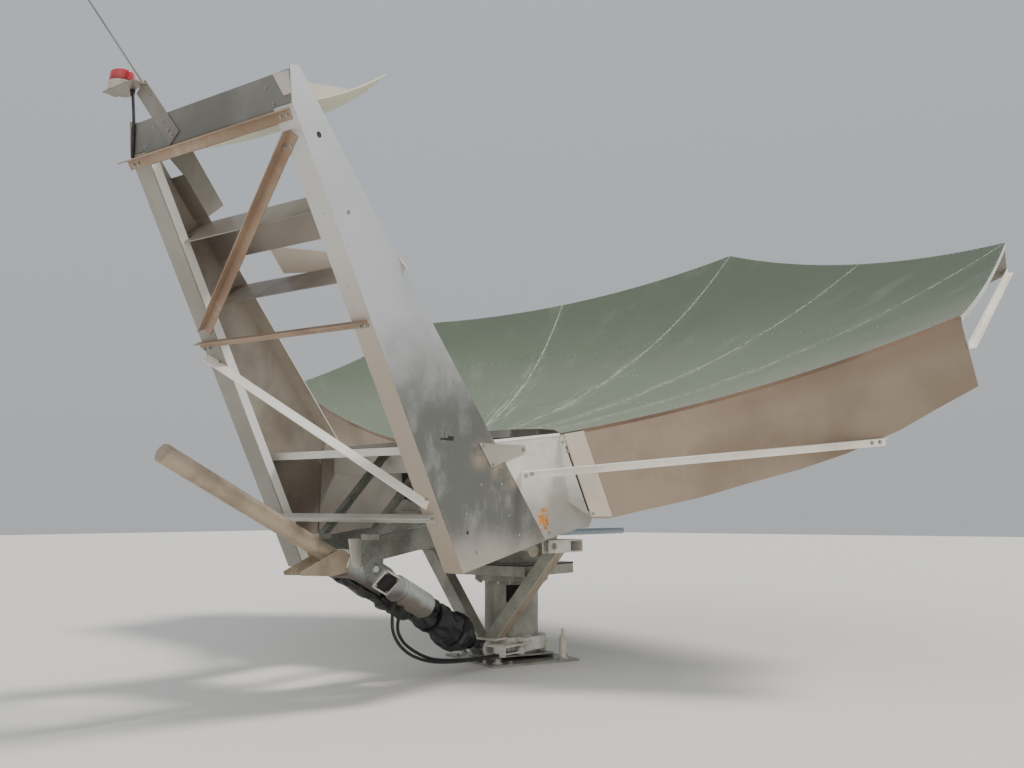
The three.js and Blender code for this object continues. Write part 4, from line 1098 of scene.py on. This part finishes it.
def make_sheeting():
    wrap = [(0.185, 0.068), (0.22, 0.1), (0.3, 0.15), (0.45, 0.19), (0.8, 0.175), (1.0, 0.15), (1.15, 0.11)]
    sheeting("jack_sheeting", wrap, (0.21, 0.52, 0.86, 1.13), 0, 1.0, "jack_screw_body", ["jack_wrap"])
    boot = [(BOOT_START, 0.09), (1.22, 0.12), (1.3, BOOT_R), (1.98, BOOT_R), (BOOT_END, 0.105)]
    sheeting("jack_boot_sheeting", boot, (1.2, 1.62), BOOT_RISE, BOOT_ROOF, HOUSING, ["jack_boot"])
    for k, (t, radius) in enumerate(((0.212, 0.078), (0.522, 0.158), (0.862, 0.142))):
        tie = [(0, radius - 0.01), (0, radius), (TIE_WIDE / 2, radius + 0.003), (TIE_WIDE, radius),
               (TIE_WIDE, radius - 0.01)]
        turned(f"sheeting_tie_{k + 1}", tie, on_jack(t - TIE_WIDE / 2), JACK, BLACK_AND_GAP_SHADE,
               "jack_screw_body")


def make_motor():
    """A smooth drum of a motor with a domed fan cover and a flanged end."""
    length = GEAR_START - MOTOR_START - SEAT
    full = MOTOR_R - 0.0005
    profile = [(0, 0.04), (0, 0.07), (0.008, 0.088), (0.022, 0.103), (0.042, full)]
    groove = full - 0.004
    for seam in (0.13, 0.33):
        profile += [(seam, full), (seam + 0.002, groove), (seam + 0.008, groove), (seam + 0.01, full)]
    profile += [(length - 0.05, full), (length - 0.045, 0.1), (length - 0.024, 0.1), (length - 0.02, full),
                (length, full)]
    centre = on_jack(MOTOR_START, MOTOR_Y, MOTOR_RISE)
    turned("motor_body", profile, centre, JACK, MOTOR_GREY, HOUSING, 64, ["jack_motor"])
    circle = 0.052
    screws = []
    for k in range(8):
        turn = k * EIGHTH_TURN
        around = ACROSS * circle * math.cos(turn) + JACK_RISE * circle * math.sin(turn)
        screws.append((centre - JACK * 0.001 + around, -JACK))
    bolts("fan_cover_screws", screws, 0.012, 0.004, HOUSING)


def ribs_on(name, origin, along, up, count, pitch, height):
    """A row of cast ribs: origin is the middle of the row, along its way and up its height."""
    values = {"Count": count, "Pitch": pitch, "Length": 0.14, "Height": height}
    made = grown(name, bpy.data.meshes.new(name + "_seed"), RIBS, values, MOTOR_GREY, None)
    start = origin - along * pitch * (count - 1) / 2
    basis = Matrix((along, up.cross(along), up)).transposed().to_4x4()
    made.data.transform(Matrix.Translation(start) @ basis)
    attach(made, HOUSING)


def make_reducer():
    middle = (GEAR_START + REDUCER_END) / 2
    long, wide, bar, rim = 0.102, 0.094, 0.014, 0.01
    frame_bars = [((middle - long, -wide, 0.08), (middle + long, -wide + bar, 0.09)),
                  ((middle - long, wide - bar, 0.08), (middle + long, wide, 0.09)),
                  ((middle - long, -wide, 0.08), (middle - long + bar, wide, 0.09)),
                  ((middle + long - bar, -wide, 0.08), (middle + long, wide, 0.09))]
    boxes("reducer_frame", frame_bars, PALE_STEEL, HOUSING, lambda p: on_reducer(*p))
    cover = [(middle - long + rim, -wide + rim), (middle + long - rim, -wide + rim),
             (middle + long - rim, wide - rim), (middle - long + rim, wide - rim)]
    plates("reducer_cover", [cover], on_reducer, (0.079, 0.084), BLACK_AND_GAP_SHADE, HOUSING)
    hub = [(0, 0.062), (0.004, 0.062), (0.006, 0.055), (0.012, 0.055), (0.014, 0.036), (0.017, 0.036),
           (0.018, 0.01)]
    turned("reducer_hub", hub, on_reducer(middle, 0, 0.083), REDUCER_OUT, BLACK_AND_GAP_SHADE, HOUSING, side=JACK)
    spots = [(on_reducer(middle + t * 0.076, across * 0.068, 0.084), REDUCER_OUT)
             for t in (-1, 1) for across in (-1, 1)]
    bolts("reducer_bolts", spots, 0.016, 0.01, HOUSING)
    ribs_on("reducer_end_ribs", on_reducer(REDUCER_END, 0, 0), REDUCER_OUT, JACK, 8, 0.019, 0.01)
    ribs_on("reducer_top_ribs", on_reducer(middle, 0.078, 0), JACK, REDUCER_ACROSS, 9, 0.022, 0.006)
    ribs_on("reducer_low_ribs", on_reducer(middle, -0.078, 0), JACK, -REDUCER_ACROSS, 9, 0.022, 0.006)


def upright(y):
    """Maps x, z and a depth to a place on an upright plane at y."""
    return lambda x, z, out: Vector((x, y + out, z))


def make_cover_tube():
    sleeve = [(0, 0.036), (0.0, 0.07), (1.925, 0.07), (1.93, 0.068), (1.935, 0.04)]
    turned("jack_cover", sleeve, on_jack(GEAR_END + SEAT), JACK, TAN_STEEL, HOUSING, 56,
           ["jack_cover_tube"])
    ring = [(0, 0.071), (0, 0.1), (0.012, 0.108), (0.02, 0.108), (0.024, 0.09), (0.05, 0.085), (0.055, 0.071)]
    turned("cover_collar", ring, on_jack(GEAR_END + 0.002), JACK, PALE_STEEL, HOUSING)
    guide = [(-2.99, 0.992), (-2.975, 0.965), (-2.64, 0.945), (-2.44, 0.975), (-2.44, 1.1), (-2.52, 1.15),
             (-2.6, 1.145)]
    for word, side in SIDES:
        plates(f"guide_plate_{word}", [guide], upright(side * 0.092), (-0.004, 0.004), TAN_STEEL,
               HOUSING)
    yoke = [(-2.5, 1.235), (-2.38, 1.235), (-2.32, 1.2), (-2.3, 1.09), (-2.32, 1.03), (-2.36, 1.0),
            (-2.41, 0.995), (-2.45, 1.03), (-2.475, 1.12)]
    plates("yoke_plate", [yoke], upright(-0.118), (0.0, -0.01), PALE_STEEL, HOUSING)
    half = 0.034
    shoes = [((-2.474, y - half, 1.228), (-2.335, y + half, 1.272)) for y in (-0.27, 0.27)]
    boxes("strut_shoes", shoes, GALVANISED)


make_sheeting()
make_motor()
make_reducer()
make_cover_tube()


# Bolts, slots and small plates of the frame
def web_details():
    slot = [(-2.375, 2.008), (-2.215, 2.008), (-2.2, 2.044), (-2.275, 2.044), (-2.285, 2.026),
            (-2.375, 2.022)]
    slit = [(-2.325, 2.024), (-2.317, 2.024), (-2.317, 2.078), (-2.325, 2.078)]
    holes = [disc(-3.703, 4.063, 0.023), disc(-2.04, 1.286, 0.014), slot, slit]
    gusset = [(-1.87, 2.012), (-1.19, 2.03), (-1.178, 1.975), (-1.7, 1.815)]
    edge = [(-1.645, 2.05), (-0.6, 2.175), (-0.588, 2.157), (-1.64, 2.03)]
    heads = [(-3.405, 3.579, 0), (-1.918, 1.129, 0), (-1.81, 1.995, -0.006), (-1.225, 1.995, -0.006),
             (-1.68, 1.845, -0.006), (-0.81, 1.265, HUB_IN)]
    small = [(-2.051, 1.431, 0), (-1.636, 1.32, 0), (-1.551, 1.681, 0), (-1.842, 1.669, 0), (-1.45, 1.42, 0),
             (-1.3, 1.25, 0)]
    for word, side in SIDES:
        face = on_web(side)
        # Painted shade: dark plates stand for the openings in the web, whose insides are in shade.
        plates(f"web_openings_{word}", holes, face, (-0.0006, 0.002), BLACK_AND_GAP_SHADE)
        plates(f"gusset_{word}", [gusset], face, (-0.006, HUB_IN), GUSSET_SHEET)
        # Painted highlight: a pale strip along the top edge of the hub plate.
        plates(f"hub_edge_highlight_{word}", [edge], face, (0.002, HUB_IN), SUNLIT_ANGLE)
        bolts(f"web_bolts_{word}", [(face(*place), side * ACROSS) for place in heads], 0.02, 0.01)
        rivets(f"web_rivets_{word}", [(face(*place), side * ACROSS) for place in small], 0.018, ZINC)


def angle_bolts():
    ends = [(-0.8, 4.15), (0.86, 4.15), (-0.74, 3.98), (0.8, 3.0), (-0.85, 2.8), (0.9, 2.8), (-0.84, 1.54),
            (0.84, 2.68), (-0.84, 1.4), (0.82, 1.4)]
    spots = [(on_front(y + shift, z, 0.0092), FRONT_OUT) for y, z in ends for shift in (-0.03, 0.03)]
    bolts("angle_bolts", spots, 0.022, 0.011)


def strut_bolts():
    places = [(-1.222, 0.991, 1.761), (-1.191, 1.033, 1.778), (0.696, 3.429, 2.063), (0.741, 3.487, 2.072)]
    spots = [(Vector((x, side * y, z)), Vector((-0.787, side * 0.617, 0)))
             for _, side in SIDES for x, y, z in places]
    bolts("strut_bolts", spots, 0.022, 0.012)


def base_details():
    circle, count = 0.33, 16
    nuts = []
    for k in range(count):
        angle = (k + 0.5) * 2 * math.pi / count
        place = Vector((circle * math.cos(angle), circle * math.sin(angle), KINGPOST_TOP - FLANGE_THICK))
        nuts.append((place, -UP))
    bolts("flange_nuts", nuts, 0.034, 0.024, "base")

    turn = Matrix.Rotation(BASE_TURN, 3, "Z")
    post = [(0.02, 0.052), (0.028, 0.052), (0.03, 0.034), (0.2, 0.034), (0.202, 0.046), (0.212, 0.046),
            (0.214, 0.03), (0.24, 0.03), (0.242, 0.016), (0.3, 0.016), (0.304, 0.012)]
    stub = [(0.02, 0.052), (0.028, 0.052), (0.03, 0.03), (0.048, 0.03), (0.05, 0.016), (0.062, 0.016),
            (0.064, 0.012)]
    nuts = []
    for k, (x, y) in enumerate(((-1, -1), (1, -1), (1, 1), (-1, 1))):
        foot = turn @ Vector((x * ANCHOR_OUT, y * ANCHOR_OUT, 0))
        turned(f"anchor_post_{k + 1}", post if x > 0 else stub, foot, UP, PALE_STEEL, "base", 24)
        for shift in (-0.09, 0.09):
            nuts.append((turn @ Vector((x * ANCHOR_OUT + shift * y, y * ANCHOR_OUT - shift * x, 0.02)), UP))
    bolts("anchor_nuts", nuts, 0.04, 0.03, "base")


def azimuth_details():
    leg = [(0.09, 0.024), (0.094, 0.04), (0.15, 0.04), (0.152, 0.026), (0.181, 0.026)]
    for word, way in SIDES:
        foot = Vector((-0.26, way * 0.285, 0))
        turned(f"shelf_post_{word}", leg, foot, UP, PALE_STEEL, "azimuth", 24)
        y0, y1 = sorted((way * 0.25, way * 0.322))
        walls = [((-0.27, y0, 0.2), (-0.13, y1, 0.206)), ((-0.27, y0, 0.256), (-0.13, y1, 0.262)),
                 ((-0.27, y0, 0.2), (-0.264, y1, 0.262)), ((-0.136, y0, 0.2), (-0.13, y1, 0.262))]
        boxes(f"shelf_stub_{word}", walls, PALE_STEEL, "azimuth")
    edges = [(way * 0.334 - 0.005, way * 0.334 + 0.005) for _, way in SIDES]
    lips = [((-0.6, y0, z0), (0.165, y1, z1)) for y0, y1 in edges for z0, z1 in ((0.186, 0.2), (0.12, 0.13))]
    lips += [((x, y0, 0.13), (x + 0.012, y1, 0.186)) for y0, y1 in edges for x in (-0.6, 0.153)]
    boxes("shelf_lips", lips, PALE_STEEL, "azimuth")
    # Painted shadow: a thin dark ring round the top of the head, for the shade under the parts above it.
    seam = [((-0.4512, -0.4612, 0.934), (0.4512, 0.4612, 0.9475))]
    boxes("head_shadow_line", seam, BLACK_AND_GAP_SHADE, "azimuth")
    shelf = [(Vector((x, way * 0.27, 0.2)), UP) for x in (-0.05, 0.08) for _, way in SIDES]
    bolts("shelf_bolts", shelf, 0.036, 0.034, "azimuth")
    lugs = [(Vector((FOOT.x, way * 0.108, FOOT.z)), way * ACROSS) for _, way in SIDES]
    bolts("foot_pin_nuts", lugs, 0.05, 0.014, "azimuth")
    pins = [(Vector((-0.48, way * 0.824, 1.134)), way * ACROSS) for _, way in SIDES]
    bolts("elevation_pin_nuts", pins, 0.04, 0.012, "azimuth")


web_details()
angle_bolts()
strut_bolts()
base_details()
azimuth_details()


# Finishes of the solids that show as they are
def paint_solids():
    groups = {
        WEB_SHEET: ["boom_beam_near"],
        TOP_SHEET: ["top_cross_plate"],
        FAR_BEAM: ["boom_beam_far"],
        SHADED_SHEET: ["subreflector_arm_far", "cross_channel_upper", "cross_channel_lower", "hub_plate_far",
                       "beacon_bracket"] + [f"rib_{k}" for k in range(1, 6)],
        FEED_SHEET: ["feed_plate", "subreflector_arm_near"],
        HUB_SHEET: ["hub_plate_near", "hub_deck"],
        SIDE_SHEET: ["side_plate_near", "side_plate_far"],
        # The angles and struts: copies of one aluminium that differ only in painted light.
        SUNLIT_ANGLE: ["angle_lower_diagonal", "side_strut_near", "side_strut_far", "rim_strut_near",
                     "rim_strut_far"],
        SKYLIT_ANGLE: ["angle_bottom"],
        SHADED_ANGLE: ["angle_top", "angle_upper_diagonal", "angle_middle"],
        PALE_STEEL: ["cross_tube", "pin_clevis_near", "pin_clevis_far", "jack_foot"],
        GALVANISED: ["kingpost", "azimuth_head", "hub_cross_box", "base_frame", "leg_far"],
        LEG_STEEL: ["leg_near"],
        DARK_STEEL: ["jack_frame_near", "jack_frame_far"],
        # Painted shade: the hub drum is dark for the shaded gap at the dish's inner edge.
        BLACK_AND_GAP_SHADE: ["hub_drum"],
        PUCK_GREY: ["azimuth_motor"],
        BLUE_GREY: ["azimuth_jack_tube"],
        MOTOR_GREY: ["jack_gearbox"],
        SCREW_STEEL: ["jack_screw"],
    }
    for finish, nodes in groups.items():
        for node in nodes:
            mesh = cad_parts[node].data
            mesh.materials.clear()
            mesh.materials.append(finish)


paint_solids()


# Floor and light
def make_studio():
    bm = bmesh.new()
    bmesh.ops.create_grid(bm, x_segments=1, y_segments=1, size=60)
    mesh = bpy.data.meshes.new("floor")
    bm.to_mesh(mesh)
    bm.free()
    mesh.transform(Matrix.Translation((0, 0, -0.001)))
    mesh.materials.append(floor_finish())
    floor = bpy.data.objects.new("floor", mesh)
    bpy.context.scene.collection.objects.link(floor)

    world = bpy.data.worlds.new("studio")
    world.use_nodes = True
    sky = Tree(world.node_tree)
    way_up = sky.node("ShaderNodeSeparateXYZ", {0: sky.node("ShaderNodeTexCoord", output="Generated")}, 2)
    ramp = sky.node("ShaderNodeValToRGB", {0: way_up})
    stops = ramp.socket.node.color_ramp.elements
    for stop, place, colour in zip(stops, (0.0, 0.75), ((0.62, 0.64, 0.66, 1), (0.74, 0.8, 0.88, 1))):
        stop.position = place
        stop.color = colour
    background = sky.tree.nodes["Background"]
    sky.tree.links.new(ramp.socket, background.inputs[0])
    background.inputs[1].default_value = 0.75
    bpy.context.scene.world = world

    lamps = (("key", (0.5, -0.42, 0.85), 2.6, 12), ("fill", (-0.8, -0.5, 0.35), 0.7, 60))
    for name, way, strength, spread in lamps:
        lamp = bpy.data.lights.new(name, "SUN")
        lamp.energy = strength
        lamp.angle = math.radians(spread)
        lamp.color = (1.0, 0.97, 0.92)
        holder = bpy.data.objects.new(name, lamp)
        holder.rotation_euler = Vector(way).to_track_quat("Z", "Y").to_euler()
        bpy.context.scene.collection.objects.link(holder)


make_studio()
